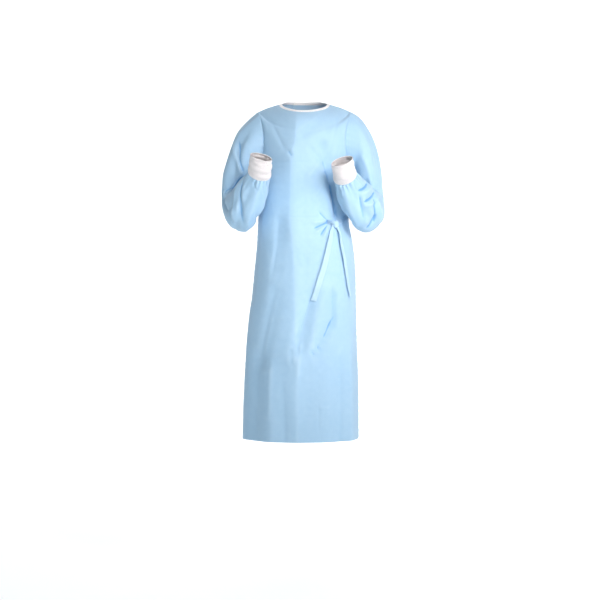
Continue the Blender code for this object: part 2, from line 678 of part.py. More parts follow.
def place_of(height):
    """The row place of a height between the hem and the armpit."""
    return (np.asarray(height) - HEM_HEIGHT) / (ARMPIT_HEIGHT - HEM_HEIGHT)


def across_of(panel, x, height):
    """How far across a panel a distance x from the middle is, at each height."""
    columns = panel[1]
    line = on_panel(panel, columns[None, :], place_of(height)[:, None])[0]
    return np.array([np.interp(value, row[:, 0], columns) for value, row in zip(x, line)])


def tie_wall(name, lines, lift, look):
    """A flat tie whose back lies off lines of points, three across and many along."""
    points, normals = (np.stack([line[k] for line in lines], axis=1) for k in range(2))
    back = points + normals * lift[:, None, None]
    wall(name, back + normals * TIE_WALL, back, look, flip=True)


def front_tie(name, front, table, steps, look):
    """A tie along a table of places, widths and lifts on the front panel."""
    at = np.linspace(0, len(table) - 1, steps + 1)
    path = smooth(np.arange(len(table)), np.array(table), at)
    along = np.gradient(path[:, :2], axis=0)
    along /= np.linalg.norm(along, axis=-1, keepdims=True)
    across = across_of(front, path[:, 0], path[:, 1])
    reach = on_panel(front, across + 0.01, place_of(path[:, 1]))[0]
    stretch = np.linalg.norm(reach - on_panel(front, across, place_of(path[:, 1]))[0], axis=-1)
    lines = []
    for share in (-0.5, 0.0, 0.5):
        sideways = path[:, 2] * share
        moved = across - sideways * along[:, 1] * 0.01 / stretch
        height = path[:, 1] + sideways * along[:, 0]
        lines.append(on_panel(front, moved, place_of(height)))
    tie_wall(name, lines, path[:, 3], look)


def long_tie(front, back, look):
    """The long tie from the knot round the left side to the edge of the outer back panel."""
    start = across_of(front, [KNOT_PLACE[0] + KNOT_MARGIN], [KNOT_PLACE[1]])[0]
    heights = np.array([KNOT_PLACE[1], LONG_TIE_SIDE_HEIGHT, LONG_TIE_ROOT_HEIGHT])
    share = np.linspace(0, 1, LONG_TIE_STEPS + 1)
    round_front = start + (1 - start) * share[share <= LONG_TIE_SEAM] / LONG_TIE_SEAM
    rest = (share[share > LONG_TIE_SEAM] - LONG_TIE_SEAM) / (1 - LONG_TIE_SEAM)
    round_back = 1 + (LONG_TIE_ROOT - 1) * rest
    height = smooth([0, LONG_TIE_SEAM, 1], heights, share)
    width = TIE_WIDTH - (TIE_WIDTH - TIE_NARROW) * np.clip(1 - share / LONG_TIE_SEAM, 0, 1)
    lines = []
    for part in (-0.5, 0.0, 0.5):
        place = place_of(height + width * part)
        count = len(round_front)
        at_front = on_panel(front, round_front, place[:count])
        at_back = on_panel(back, round_back, place[count:])
        down = (round_back - LONG_TIE_STEP_FROM) / (LONG_TIE_STEP_TO - LONG_TIE_STEP_FROM)
        down = np.clip(down, 0, 1)
        raised = LAYER_RISE * (1 - down * down * (3 - 2 * down))
        at_back[0] = at_back[0] + at_back[1] * raised[:, None]
        lines.append([np.concatenate([at_front[k], at_back[k]]) for k in range(2)])
    off_knot = np.clip(1 - share / LONG_TIE_DROP, 0, 1)
    tie_wall("tie_long", lines, TIE_CLEARANCE + (KNOT_LIFT - 2 * TIE_CLEARANCE) * off_knot, look)


def make_ties(front, back, look):
    """The two waist ties, their knot and the two free ends that hang from it."""
    front_tie("tie_end_short", front, SHORT_END, TIE_STEPS, look)
    front_tie("tie_end_long", front, LONG_END, TIE_STEPS, look)
    front_tie("tie_short", front, SHORT_TIE, 4, look)
    long_tie(front, back, look)
    across = across_of(front, [KNOT_PLACE[0]], [KNOT_PLACE[1]])
    centre, out = on_panel(front, across, place_of([KNOT_PLACE[1]]))
    make_knot(centre[0] + out[0] * KNOT_LIFT, out[0], look)


def make_knot(centre, out, blue):
    """The knot: a cube cage rounded by subdivision, turned to face out from the panel."""
    bpy.ops.mesh.primitive_cube_add(size=1)
    knot = bpy.context.object
    knot.name = "tie_knot"
    for point in knot.data.vertices:
        point.co.x *= KNOT_SIZE[0]
        point.co.y *= KNOT_SIZE[1]
        point.co.z *= KNOT_SIZE[2]
    rounding = knot.modifiers.new("Rounding", "SUBSURF")
    rounding.levels = rounding.render_levels = 2
    knot.location = centre
    knot.rotation_euler = (0, 0, math.atan2(-out[0], out[1]) + math.pi)
    knot.data.materials.append(blue)
    knot.data.shade_smooth()
    for holder in list(knot.users_collection):
        holder.objects.unlink(knot)
    GOWN.objects.link(knot)


def make_neck_tab(back, white):
    """The hook-and-loop tab on the outer back panel's corner, made from its points."""
    across, place = np.meshgrid(np.linspace(TAB_FROM, TAB_TO, 6), np.linspace(TAB_BOTTOM, TAB_TOP, 4))
    at, out = on_panel(back, across, place)
    inner = at + out * (LAYER_RISE + TAB_CLEARANCE)
    wall("neck_tab", inner + out * TAB_WALL, inner, white, flip=True)


def main():
    """Builds every piece of the gown."""
    blue = material("gown cloth", CLOTH_BLUE, 0.75)
    tie_blue = material("tie cloth", TIE_BLUE, 0.75)
    knit = material("cuff knit", KNIT_WHITE, 0.9)
    white = material("neck binding", BINDING_WHITE, 0.85)
    front = body_grid(-1, FRONT_COLUMNS)
    back = body_grid(+1, BACK_COLUMNS)
    sleeves = {side: sleeve_grid(side) for side in (+1, -1)}
    normals = make_body(front, back, sleeves, blue)
    make_cuff(+1, "left", knit)
    make_cuff(-1, "right", knit)
    make_binding(front, back, normals, white)
    front_face = (*front, normals["front"])
    back_face = (*back, normals["back"])
    make_ties(front_face, back_face, tie_blue)
    make_neck_tab(back_face, white)


for old in list(bpy.data.objects):
    bpy.data.objects.remove(old)
GOWN = bpy.data.collections.new("surgical gown")
bpy.context.scene.collection.children.link(GOWN)
main()
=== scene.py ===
"""The looks of the surgical gown: thin folded cloth, knitted cuffs, bound neck and tied belt.

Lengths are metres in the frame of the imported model: +Z up, -Y the front of the gown and +X
the wearer's left. The origin is the middle of the neck opening. Each cloth piece is a grid
of points worked out from the sizes of its solid, with its creases, puckers and crumple
added along the normals.
"""

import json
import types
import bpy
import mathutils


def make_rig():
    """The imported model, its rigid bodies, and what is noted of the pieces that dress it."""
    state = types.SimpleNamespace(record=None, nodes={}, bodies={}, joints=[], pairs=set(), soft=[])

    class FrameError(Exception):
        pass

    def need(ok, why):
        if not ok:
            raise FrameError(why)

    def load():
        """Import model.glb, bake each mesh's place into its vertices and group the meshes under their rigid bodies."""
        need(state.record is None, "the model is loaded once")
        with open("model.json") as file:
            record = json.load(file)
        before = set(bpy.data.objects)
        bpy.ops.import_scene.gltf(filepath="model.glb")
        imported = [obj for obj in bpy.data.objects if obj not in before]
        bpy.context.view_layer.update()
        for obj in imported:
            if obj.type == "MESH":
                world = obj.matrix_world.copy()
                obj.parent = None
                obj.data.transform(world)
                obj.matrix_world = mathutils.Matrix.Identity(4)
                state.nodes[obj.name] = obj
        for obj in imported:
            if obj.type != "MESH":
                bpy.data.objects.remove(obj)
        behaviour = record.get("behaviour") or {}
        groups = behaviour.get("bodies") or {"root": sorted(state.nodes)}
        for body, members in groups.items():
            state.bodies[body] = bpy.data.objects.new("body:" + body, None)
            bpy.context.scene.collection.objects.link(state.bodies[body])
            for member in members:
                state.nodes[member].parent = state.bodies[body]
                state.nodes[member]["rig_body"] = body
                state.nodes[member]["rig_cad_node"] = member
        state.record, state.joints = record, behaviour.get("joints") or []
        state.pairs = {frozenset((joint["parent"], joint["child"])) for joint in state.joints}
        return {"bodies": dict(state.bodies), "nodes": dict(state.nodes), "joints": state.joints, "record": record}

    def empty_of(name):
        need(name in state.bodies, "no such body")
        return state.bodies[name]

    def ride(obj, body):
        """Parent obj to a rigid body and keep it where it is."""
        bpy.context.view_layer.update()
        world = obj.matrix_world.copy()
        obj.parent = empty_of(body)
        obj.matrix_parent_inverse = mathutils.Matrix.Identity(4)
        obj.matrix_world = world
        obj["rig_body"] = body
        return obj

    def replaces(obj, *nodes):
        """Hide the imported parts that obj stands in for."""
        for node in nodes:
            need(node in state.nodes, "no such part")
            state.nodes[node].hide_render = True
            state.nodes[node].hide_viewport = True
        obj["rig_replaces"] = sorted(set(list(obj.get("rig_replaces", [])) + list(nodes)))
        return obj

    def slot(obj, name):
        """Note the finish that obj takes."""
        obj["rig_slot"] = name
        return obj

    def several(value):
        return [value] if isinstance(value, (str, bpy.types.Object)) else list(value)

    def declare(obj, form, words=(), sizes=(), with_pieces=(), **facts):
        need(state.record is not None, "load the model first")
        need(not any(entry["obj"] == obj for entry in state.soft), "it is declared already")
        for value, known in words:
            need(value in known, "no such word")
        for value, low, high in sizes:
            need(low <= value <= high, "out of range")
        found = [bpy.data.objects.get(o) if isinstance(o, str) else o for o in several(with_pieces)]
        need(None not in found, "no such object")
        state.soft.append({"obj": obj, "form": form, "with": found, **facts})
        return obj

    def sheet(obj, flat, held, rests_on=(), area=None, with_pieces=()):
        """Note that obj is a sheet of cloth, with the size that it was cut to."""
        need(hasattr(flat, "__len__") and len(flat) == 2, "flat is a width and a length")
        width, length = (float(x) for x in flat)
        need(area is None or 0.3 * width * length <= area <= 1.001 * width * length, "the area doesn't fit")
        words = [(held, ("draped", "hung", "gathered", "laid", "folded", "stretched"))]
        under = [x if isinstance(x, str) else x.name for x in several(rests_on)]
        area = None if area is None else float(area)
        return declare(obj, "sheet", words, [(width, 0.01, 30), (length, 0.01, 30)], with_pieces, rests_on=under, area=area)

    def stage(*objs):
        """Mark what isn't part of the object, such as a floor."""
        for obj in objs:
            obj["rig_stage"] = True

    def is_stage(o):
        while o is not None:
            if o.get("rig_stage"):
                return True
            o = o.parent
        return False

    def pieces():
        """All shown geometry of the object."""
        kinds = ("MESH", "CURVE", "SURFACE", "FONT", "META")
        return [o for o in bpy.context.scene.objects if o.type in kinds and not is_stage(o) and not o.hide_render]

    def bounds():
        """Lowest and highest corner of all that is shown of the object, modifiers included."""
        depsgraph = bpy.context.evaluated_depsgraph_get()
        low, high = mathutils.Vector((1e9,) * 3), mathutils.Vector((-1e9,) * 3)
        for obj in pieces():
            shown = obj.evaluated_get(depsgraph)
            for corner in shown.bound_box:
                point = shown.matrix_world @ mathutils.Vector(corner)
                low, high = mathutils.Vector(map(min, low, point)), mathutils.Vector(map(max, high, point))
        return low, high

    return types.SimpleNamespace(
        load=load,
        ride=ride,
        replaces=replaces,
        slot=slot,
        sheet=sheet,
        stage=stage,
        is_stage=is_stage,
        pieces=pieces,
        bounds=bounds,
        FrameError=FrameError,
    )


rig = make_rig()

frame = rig.load()

from dataclasses import dataclass, field
from enum import Enum
import json
import logging
import math
from typing import NamedTuple

import bpy
import numpy as np

CAD_BOX = [list(corner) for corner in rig.bounds()]
LOG = logging.getLogger("surgical gown")
Array = np.ndarray
Colour = tuple[float, float, float]
TABLE_EDGE = 1e-6


class Side(Enum):
    """The wearer's left or right, as the sign of X."""

    LEFT = 1
    RIGHT = -1


class Face(Enum):
    """The front or the back of the body, as the sign of Y."""

    FRONT = -1
    BACK = 1


class Profile(Enum):
    """How a crease falls off across its line: rounded, or with a pressed edge."""

    SOFT = "soft"
    PRESSED = "pressed"


def smooth(knots: Array, values: Array, at: Array) -> Array:
    """Reads a smooth curve through the rows of a table.

    Between two rows the curve is the cubic that meets both rows' values and slopes.

    Args:
        knots: The rows' places, rising.
        values: A number or several for each row.
        at: The places to read.

    Returns:
        The values at those places.
    """
    knots, values, at = (np.asarray(x, float) for x in (knots, values, at))
    slopes = np.gradient(values, knots, axis=0)
    i = np.clip(np.searchsorted(knots, at, side="right") - 1, 0, len(knots) - 2)
    step = knots[i + 1] - knots[i]
    t = (at - knots[i]) / step
    if values.ndim > 1:
        step, t = step[..., None], t[..., None]
    rise = values[i + 1] - values[i]
    a = slopes[i] * step - rise
    b = rise - slopes[i + 1] * step
    return values[i] + t * rise + t * (1 - t) * ((1 - t) * a + t * b)


def column(table: tuple, name: str) -> Array:
    """One named column of a table, as an array."""
    return np.array([getattr(row, name) for row in table])


def ease(share: Array) -> Array:
    """A curve from 0 to 1 with level ends, 3s squared less 2s cubed, for shares s."""
    share = np.clip(share, 0, 1)
    return share * share * (3 - 2 * share)


def unit(vectors: Array) -> Array:
    """Vectors divided by their lengths."""
    return vectors / np.linalg.norm(vectors, axis=-1, keepdims=True)


def grid_normals(points: Array, closed: bool) -> Array:
    """Works out the unit normals of a grid as the cross product of its two directions.

    Args:
        points: Rows by columns of points.
        closed: True where the last column meets the first.

    Returns:
        Normals that face out where columns run towards +X and rows towards +Z at the front.
    """
    if closed:
        wrapped = np.concatenate([points[:, -1:], points, points[:, :1]], axis=1)
        along = np.gradient(wrapped, axis=1)[:, 1:-1]
    else:
        along = np.gradient(points, axis=1)
    return unit(np.cross(along, np.gradient(points, axis=0)))


@dataclass(frozen=True)
class Noise:
    """Gradient noise on a plane, each cell's corners pulling in a random direction.

    Attributes:
        cell: The size of a cell, in the units of the coordinates.
        seed: The start of the random directions.
        period: How many cells go round a tube, or 0 on an open panel.
    """

    cell: float
    seed: int
    period: int = 0
    table: int = 64

    def at(self, u: Array, v: Array) -> Array:
        """Reads the noise, the corners' slopes blended by the curve 6t^5 - 15t^4 + 10t^3.

        Args:
            u: Distances one way.
            v: Distances the other way.

        Returns:
            Heights from about -0.7 to 0.7.
        """
        turn = np.random.default_rng(self.seed).uniform(0, math.tau, (self.table, self.table))
        a, b = u / self.cell, v / self.cell
        i, j = np.floor(a).astype(int), np.floor(b).astype(int)
        total = np.zeros(np.broadcast(a, b).shape)
        for di in (0, 1):
            for dj in (0, 1):
                x, y = a - i - di, b - j - dj
                angle = turn[(i + di) % (self.period or self.table), (j + dj) % self.table]
                weight = 1.0
                for t in (1 - np.abs(x), 1 - np.abs(y)):
                    weight = weight * t * t * t * (t * (6 * t - 15) + 10)
                total = total + weight * (np.cos(angle) * x + np.sin(angle) * y)
        return total


class Crease(NamedTuple):
    """A ridge (rise above zero) or trough between two points of a body panel.

    x0, z0 and x1, z1 are its ends as seen from the front or the back. The shade is the
    painted shade that darkens the cloth's colour in it, up to 4.
    """

    x0: float
    z0: float
    x1: float
    z1: float
    half_width: float
    rise: float
    profile: Profile = Profile.SOFT
    shade: float = 0.0


def shades(creases: tuple, width: float = 0.75) -> tuple:
    """The creases that carry painted shade, narrower, each with that shade in place of its rise."""
    return tuple(
        crease._replace(rise=crease.shade, half_width=crease.half_width * width)
        for crease in creases
        if crease.shade
    )


def fall_off(
    off: Array, past: Array, half_width: float, profile: Profile, fade: float
) -> Array:
    """A crease's height from 0 to 1, for distances off its line and past its ends.

    A soft crease falls off as exp(-(off / half width)^2), and a pressed one as
    exp(-off / half width) with its edge rounded over a tenth of that width, or 1.4 mm
    where that is more. Past its ends it falls off as exp(-(past / fade)^2).
    """
    if profile is Profile.SOFT:
        across = (off / half_width) ** 2
    else:
        edge = max(0.1 * half_width, 0.0014)
        across = (np.sqrt(off * off + edge * edge) - edge) / half_width
    return np.exp(-across - (past / fade) ** 2)


def crease_rise(u: Array, v: Array, creases: list[Crease], small: bool = False) -> Array:
    """Sums creases whose ends are given in the same flat coordinates as u and v.

    Args:
        u: Distance round the panel.
        v: Height.
        creases: The creases, with x0 and x1 as distances round.
        small: True where the ends fade out over a third of the length, and a crease that
            starts where the one before it ends carries it on, the higher of the two
            counting at each point.

    Returns:
        The rise at each point.
    """
    total = np.zeros(np.broadcast(u, v).shape)
    chain, tail = np.zeros(total.shape), None
    for crease in creases:
        du, dv = crease.x1 - crease.x0, crease.z1 - crease.z0
        length = math.hypot(du, dv)
        along = ((u - crease.x0) * du + (v - crease.z0) * dv) / length
        off = ((u - crease.x0) * dv - (v - crease.z0) * du) / length
        past = np.maximum(np.maximum(-along, along - length), 0)
        fade = max(crease.half_width, 0.008)
        if small:
            fade = max(fade, min(0.3 * length, 0.028))
        one = crease.rise * fall_off(off, past, crease.half_width, crease.profile, fade)
        if small and tail == (crease.x0, crease.z0):
            chain = np.where(np.abs(one) > np.abs(chain), one, chain)
        else:
            total += chain
            chain = one
        tail = (crease.x1, crease.z1)
    return total + chain


@dataclass(frozen=True)
class Crumple:
    """The fine crumple of paper-like cloth: short pressed creases over a folded noise.

    Attributes:
        seed: The start of the random draws.
        count: How many short creases are scattered.
        height: The most that one of them rises or sinks.
        waves: The height of the folded noise, |noise| less its middle, in two sizes.
        swell: The height of the slow swells under it.
        cell: The size of the larger noise's cells.
    """

    seed: int
    count: int
    height: float = 0.0006
    waves: float = 0.0022
    swell: float = 0.0045
    cell: float = 0.055

    def creases(self, low: tuple[float, float], high: tuple[float, float]) -> list[Crease]:
        """Scatters short creases over a flat rectangle.

        Args:
            low: Its lowest corner.
            high: Its highest corner.

        Returns:
            The creases.
        """
        draw = np.random.default_rng(self.seed)
        x, z = (draw.uniform(low[k], high[k], self.count) for k in (0, 1))
        turn = draw.normal(math.pi / 2, 0.75, self.count)
        half = draw.uniform(0.012, 0.055, self.count)
        width = draw.uniform(0.004, 0.010, self.count)
        rise = draw.uniform(-1, 1, self.count) * self.height
        dx, dz = half * np.cos(turn), half * np.sin(turn)
        rows = np.stack([x - dx, z - dz, x + dx, z + dz, width, rise], axis=1)
        return [Crease(*row, Profile.PRESSED) for row in rows]

    def rise(self, u: Array, v: Array, period: int = 0, cell: float = 0.0) -> Array:
        """The folded noise at flat places, in a large and a small size.

        Args:
            u: Distance round.
            v: Distance along.
            period: Large cells round a tube, or 0.
            cell: A large cell's size, or 0 for the usual one.

        Returns:
            The rise at each place.
        """
        cell = cell or self.cell
        slow = Noise(cell * 2, self.seed + 3, period // 2).at(u, v * 0.6)
        large = np.abs(Noise(cell, self.seed + 1, period).at(u, v))
        small = np.abs(Noise(cell / 2, self.seed + 2, 2 * period).at(u, v))
        return self.swell * slow + self.waves * ((large - 0.2) + 0.45 * (small - 0.2))


@dataclass
class Surface:
    """A grid of points on a cloth.

    Attributes:
        points: Rows by columns of points.
        normals: Their unit normals, facing out.
        uv: Flat coordinates in metres, with one more column where the grid is closed.
        rows: Each row's parameter, rising.
        columns: Each column's parameter, rising.
        closed: True where the last column meets the first.
        fold: How sharply each point is folded, less the painted shade of shaded creases, for the material.
    """

    points: Array
    normals: Array
    uv: Array
    rows: Array
    columns: Array
    closed: bool = False
    fold: Array | None = None

    def raised(self, rise: Array) -> "Surface":
        """The same surface moved out along its normals, with its normals worked out anew."""
        points = self.points + self.normals * rise[..., None]
        normals = grid_normals(points, self.closed)
        normals *= np.sign((normals * self.normals).sum(axis=-1, keepdims=True))
        return Surface(
            points, normals, self.uv, self.rows, self.columns, self.closed, self.fold
        )

    def cut(self) -> dict[str, object]:
        points = self.points
        if self.closed:
            points = np.concatenate([points, points[:, :1]], axis=1)
        across, along = (np.linalg.norm(np.diff(points, axis=k), axis=-1) for k in (1, 0))
        diagonals = points[1:, 1:] - points[:-1, :-1], points[1:, :-1] - points[:-1, 1:]
        area = np.linalg.norm(np.cross(*diagonals), axis=-1).sum() / 2
        flat = (float(across.sum(axis=1).max()), float(along.sum(axis=0).max()))
        return {"flat": flat, "area": float(min(area, flat[0] * flat[1]))}

    def beside(self, edge: int, distance: float) -> tuple[Array, Array]:
        """Points and normals of the line at a distance in from an edge column."""
        u = self.uv[..., 0]
        wanted = u[:, edge] + (distance if edge == 0 else -distance)
        across = [np.interp(x, row, self.columns) for x, row in zip(wanted, u)]
        return self.at(np.array(across), self.rows)

    def part(self, keep: Array) -> "Surface":
        """The columns of an open surface that a mask keeps."""
        fold = None if self.fold is None else self.fold[:, keep]
        grids = (self.points[:, keep], self.normals[:, keep], self.uv[:, keep])
        return Surface(*grids, self.rows, self.columns[keep], False, fold)

    def at(self, across: Array, place: Array) -> tuple[Array, Array]:
        """Reads points and unit normals between the grid's own, by straight lines.

        Args:
            across: Column parameters.
            place: Row parameters, of the same shape.

        Returns:
            The points and the normals there.
        """
        i = np.clip(np.searchsorted(self.rows, place) - 1, 0, len(self.rows) - 2)
        j = np.clip(np.searchsorted(self.columns, across) - 1, 0, len(self.columns) - 2)
        v = ((place - self.rows[i]) / (self.rows[i + 1] - self.rows[i]))[..., None]
        u = ((across - self.columns[j]) / (self.columns[j + 1] - self.columns[j]))[..., None]
        found = []
        for grid in (self.points, self.normals):
            low = grid[i, j] * (1 - u) + grid[i, j + 1] * u
            high = grid[i + 1, j] * (1 - u) + grid[i + 1, j + 1] * u
            found.append(low * (1 - v) + high * v)
        return found[0], unit(found[1])


class Value:
    """A number socket that Python's operators work on, each adding one Math node."""

    def __init__(self, graph: "Graph", socket: bpy.types.NodeSocket) -> None:
        """Keeps the graph that the socket is in, and the socket."""
        self.graph = graph
        self.socket = socket

    def math(self, operation: str, *others: "Value | float") -> "Value":
        """One Math node with this value first."""
        inputs = dict(enumerate((self, *others)))
        return self.graph.node("ShaderNodeMath", {"operation": operation}, inputs)

    def __add__(self, other: "Value | float") -> "Value":
        """This plus the other."""
        return self.math("ADD", other)

    def __sub__(self, other: "Value | float") -> "Value":
        """This less the other."""
        return self.math("SUBTRACT", other)

    def __rsub__(self, other: float) -> "Value":
        """The other less this."""
        return (self * -1.0) + other

    def __mul__(self, other: "Value | float") -> "Value":
        """This times the other."""
        return self.math("MULTIPLY", other)

    __radd__ = __add__
    __rmul__ = __mul__

    def sine(self) -> "Value":
        """The sine of this."""
        return self.math("SINE")

    def clamped(self) -> "Value":
        """This held between 0 and 1."""
        limits = {"Value": self, "Min": 0.0, "Max": 1.0}
        return self.graph.node("ShaderNodeClamp", {}, limits)


class Graph:
    """The nodes of one material."""

    def __init__(self, name: str, roughness: float, sheen: float) -> None:
        """Makes the material and sets what is the same all over it.

        Args:
            name: The material's name.
            roughness: Its roughness where nothing else drives it.
            sheen: The weight of its soft edge sheen.
        """
        self.material = bpy.data.materials.new(name)
        self.material.use_nodes = True
        self.tree = self.material.node_tree
        self.shader = self.tree.nodes["Principled BSDF"]
        self.shader.inputs["Roughness"].default_value = roughness
        self.shader.inputs["Sheen Weight"].default_value = sheen
        self.shader.inputs["Specular IOR Level"].default_value = 0.3

    def node(self, kind: str, settings: dict, inputs: dict, output: int | str = 0) -> Value:
        """Adds a node.

        Args:
            kind: The node's type.
            settings: Its own settings, set first.
            inputs: Numbers, colours or values for its sockets, by name or number.
            output: Which socket to return.

        Returns:
            That output as a value.
        """
        made = self.tree.nodes.new(kind)
        for name, value in settings.items():
            setattr(made, name, value)
        for name, value in inputs.items():
            if isinstance(value, Value):
                self.tree.links.new(value.socket, made.inputs[name])
            else:
                made.inputs[name].default_value = value
        return Value(self, made.outputs[output])

    def noise(self, where: Value, scale: float, detail: float = 2.0) -> Value:
        """A noise texture's height, from 0 to 1."""
        inputs = {"Vector": where, "Scale": scale, "Detail": detail}
        return self.node("ShaderNodeTexNoise", {}, inputs)

    def mix(self, factor: Value | float, first: Value | Colour, second: Value | Colour) -> Value:
        """A colour between two, by a factor from 0 to 1."""
        ends = [x if isinstance(x, Value) else (*x, 1.0) for x in (first, second)]
        inputs = {0: factor, 6: ends[0], 7: ends[1]}
        return self.node("ShaderNodeMix", {"data_type": "RGBA"}, inputs, 2)

    def drive(self, socket: str, value: Value) -> None:
        """Links a value to one of the shader's sockets."""
        self.tree.links.new(value.socket, self.shader.inputs[socket])

    def bump(self, height: Value, distance: float) -> None:
        """Drives the normal by a height that is worth the given distance at 1."""
        inputs = {"Height": height, "Distance": distance, "Strength": 1.0}
        self.drive("Normal", self.node("ShaderNodeBump", {}, inputs, "Normal"))

    def flat_place(self) -> tuple[Value, Value, Value]:
        """The piece's own flat coordinates: both as a vector, then each, in metres."""
        where = self.node("ShaderNodeUVMap", {"uv_map": "UVMap"}, {})
        parts = [self.node("ShaderNodeSeparateXYZ", {}, {0: where}, axis) for axis in "XY"]
        return where, parts[0], parts[1]

    def attribute(self, name: str) -> Value:
        """A number kept on the piece's points."""
        return self.node("ShaderNodeAttribute", {"attribute_name": name}, {}, "Fac")


@dataclass(frozen=True)
class Nonwoven:
    """Matt bonded fibre cloth: rows of pressed dots, fine fibres, a cloudy web, and painted shade in its creases.

    Attributes:
        name: The material's name.
        colour: Its usual colour.
        pale: Its colour where the web is thin or the cloth is creased.
        deep: Its colour where the web is thick.
        hollow: Painted shade, its colour in the sharpest creases, where the cloth lies on itself.
        dot_pitch: The distance between pressed dots.
    """

    name: str
    colour: Colour
    pale: Colour
    deep: Colour
    hollow: Colour
    roughness: float = 0.62
    dot_pitch: float = 0.0019

    def material(self) -> bpy.types.Material:
        """Builds the material. Dots are the product of two sines, one for each way."""
        graph = Graph(self.name, self.roughness, 0.18)
        where, u, v = graph.flat_place()
        turn = math.tau / (2 * self.dot_pitch)
        dots = ((u * turn).sine() * (v * turn).sine() * 2.2 - 0.6).clamped()
        cloud = graph.noise(where, 55.0, 3.0)
        fibres = graph.noise(where, 900.0, 3.0)
        patches = graph.noise(where, 7.0, 2.0)
        fold = graph.attribute("fold")
        web = ((cloud - 0.5) * 1.0 + (patches - 0.5) * 0.9 + 0.5).clamped()
        colour = graph.mix(web, self.deep, self.colour)
        # Painted shade: deep troughs and the shaded creases darken the colour towards the painted crease shade, and
        # lose some of their paleness.
        colour = graph.mix((fold * -0.40 - 0.50).clamped(), colour, self.hollow)
        lighter = (fold * 0.35 + (fibres - 0.5) * 0.5 + dots * 0.12).clamped()
        graph.drive("Base Color", graph.mix(lighter, colour, self.pale))
        graph.drive("Roughness", (fibres * 0.18 + dots * -0.1 + (self.roughness - 0.08)))
        graph.bump(dots * -0.5 + fibres * 0.6 + cloud * 0.9, 0.00022)
        return graph.material


@dataclass(frozen=True)
class RibKnit:
    """White ribbed knit: rows of small slanted stitches up each rib, with soft fuzz."""

    name: str
    colour: Colour
    shade: Colour
    stitch: float = 0.0013
    ribs: int = 96
    around: float = 0.2

    def material(self) -> bpy.types.Material:
        """Builds the material. A stitch row is a sine along the rib, slanted by another."""
        graph = Graph(self.name, 0.85, 0.35)
        where, u, v = graph.flat_place()
        across = (u * (math.tau * self.ribs / self.around)).sine()
        rows = (v * (math.tau / self.stitch) + across * 1.4).sine()
        fuzz = graph.noise(where, 1400.0, 3.0)
        patches = graph.noise(where, 40.0, 2.0)
        dark = ((1.0 - rows) * 0.22 + (patches - 0.5) * 0.5).clamped()
        graph.drive("Base Color", graph.mix(dark, self.colour, self.shade))
        graph.drive("Roughness", fuzz * 0.15 + 0.78)
        graph.bump(rows * 0.5 + fuzz * 0.6, 0.00028)
        return graph.material


@dataclass(frozen=True)
class Tape:
    """Folded white tape with a fine twill across it, or hook tape with a dense nap."""

    name: str
    colour: Colour
    shade: Colour
    pitch: float = 0.0009

    def material(self) -> bpy.types.Material:
        """Builds the material. The twill is a sine of the two flat coordinates' sum."""
        graph = Graph(self.name, 0.7, 0.2)
        where, u, v = graph.flat_place()
        turn = math.tau / self.pitch
        twill = (u * turn + v * turn).sine() * 0.5 + 0.5
        fibres = graph.noise(where, 1200.0, 2.0)
        patches = graph.noise(where, 45.0, 2.0)
        dark = ((1.0 - twill) * 0.25 + (patches - 0.5) * 0.5).clamped()
        graph.drive("Base Color", graph.mix(dark, self.colour, self.shade))
        graph.drive("Roughness", fibres * 0.2 + 0.6)
        graph.bump(twill * 0.6 + fibres * 0.5, 0.0002)
        return graph.material


@dataclass(frozen=True)
class Thread:
    """Polyester sewing thread with a slight shine and a twist."""

    name: str
    colour: Colour
    shade: Colour

    def material(self) -> bpy.types.Material:
        """Builds the material. The twist is a wave texture on Object coordinates."""
        graph = Graph(self.name, 0.45, 0.1)
        where = graph.node("ShaderNodeTexCoord", {}, {}, "Object")
        inputs = {"Vector": where, "Scale": 900.0, "Distortion": 1.5}
        twist = graph.node("ShaderNodeTexWave", {"bands_direction": "DIAGONAL"}, inputs, 1)
        graph.drive("Base Color", graph.mix(twist, self.shade, self.colour))
        graph.drive("Roughness", twist * 0.2 + 0.35)
        graph.bump(twist, 0.0001)
        return graph.material


@dataclass
class Finishes:
    """Every finish of the gown, each material built once."""

    cloth: bpy.types.Material = field(init=False)
    ties: bpy.types.Material = field(init=False)
    knit: bpy.types.Material = field(init=False)
    tape: bpy.types.Material = field(init=False)
    hooks: bpy.types.Material = field(init=False)
    white_thread: bpy.types.Material = field(init=False)
    blue_thread: bpy.types.Material = field(init=False)

    def __post_init__(self) -> None:
        """Builds the materials."""
        blue, pale, deep = (0.400, 0.618, 0.812), (0.540, 0.733, 0.885), (0.350, 0.575, 0.787)
        # Painted shade colour for the sharpest creases, where the cloth lies on itself.
        hollow = (0.175, 0.395, 0.680)
        self.cloth = Nonwoven("gown cloth", blue, pale, deep, hollow).material()
        # Painted highlight: the tie cloth is painted lighter than the gown cloth, for the strips catching more light.
        folded = (0.470, 0.680, 0.865), (0.600, 0.780, 0.920), (0.420, 0.640, 0.835)
        self.ties = Nonwoven("tie cloth", *folded, hollow, dot_pitch=0.0016).material()
        self.knit = RibKnit("cuff knit", (0.88, 0.865, 0.875), (0.66, 0.65, 0.68)).material()
        self.tape = Tape("neck tape", (0.95, 0.96, 0.97), (0.82, 0.84, 0.87)).material()
        self.hooks = Tape("hook tape", (0.82, 0.84, 0.86), (0.6, 0.63, 0.67), 0.0016).material()
        self.white_thread = Thread("white thread", (0.9, 0.9, 0.9), (0.6, 0.6, 0.62)).material()
        self.blue_thread = Thread("blue thread", (0.36, 0.56, 0.76), (0.2, 0.38, 0.6)).material()


def cell_faces(rows: int, columns: int, closed: bool) -> Array:
    """Numbers the four corners of each cell of a grid.

    Args:
        rows: How many rows of points.
        columns: How many columns of points.
        closed: True where the last column meets the first.

    Returns:
        An array with four point numbers for each cell.
    """
    number = np.arange(rows * columns).reshape(rows, columns)
    if closed:
        number = np.concatenate([number, number[:, :1]], axis=1)
    corners = number[:-1, :-1], number[:-1, 1:], number[1:, 1:], number[1:, :-1]
    return np.stack(corners, axis=-1).reshape(-1, 4)


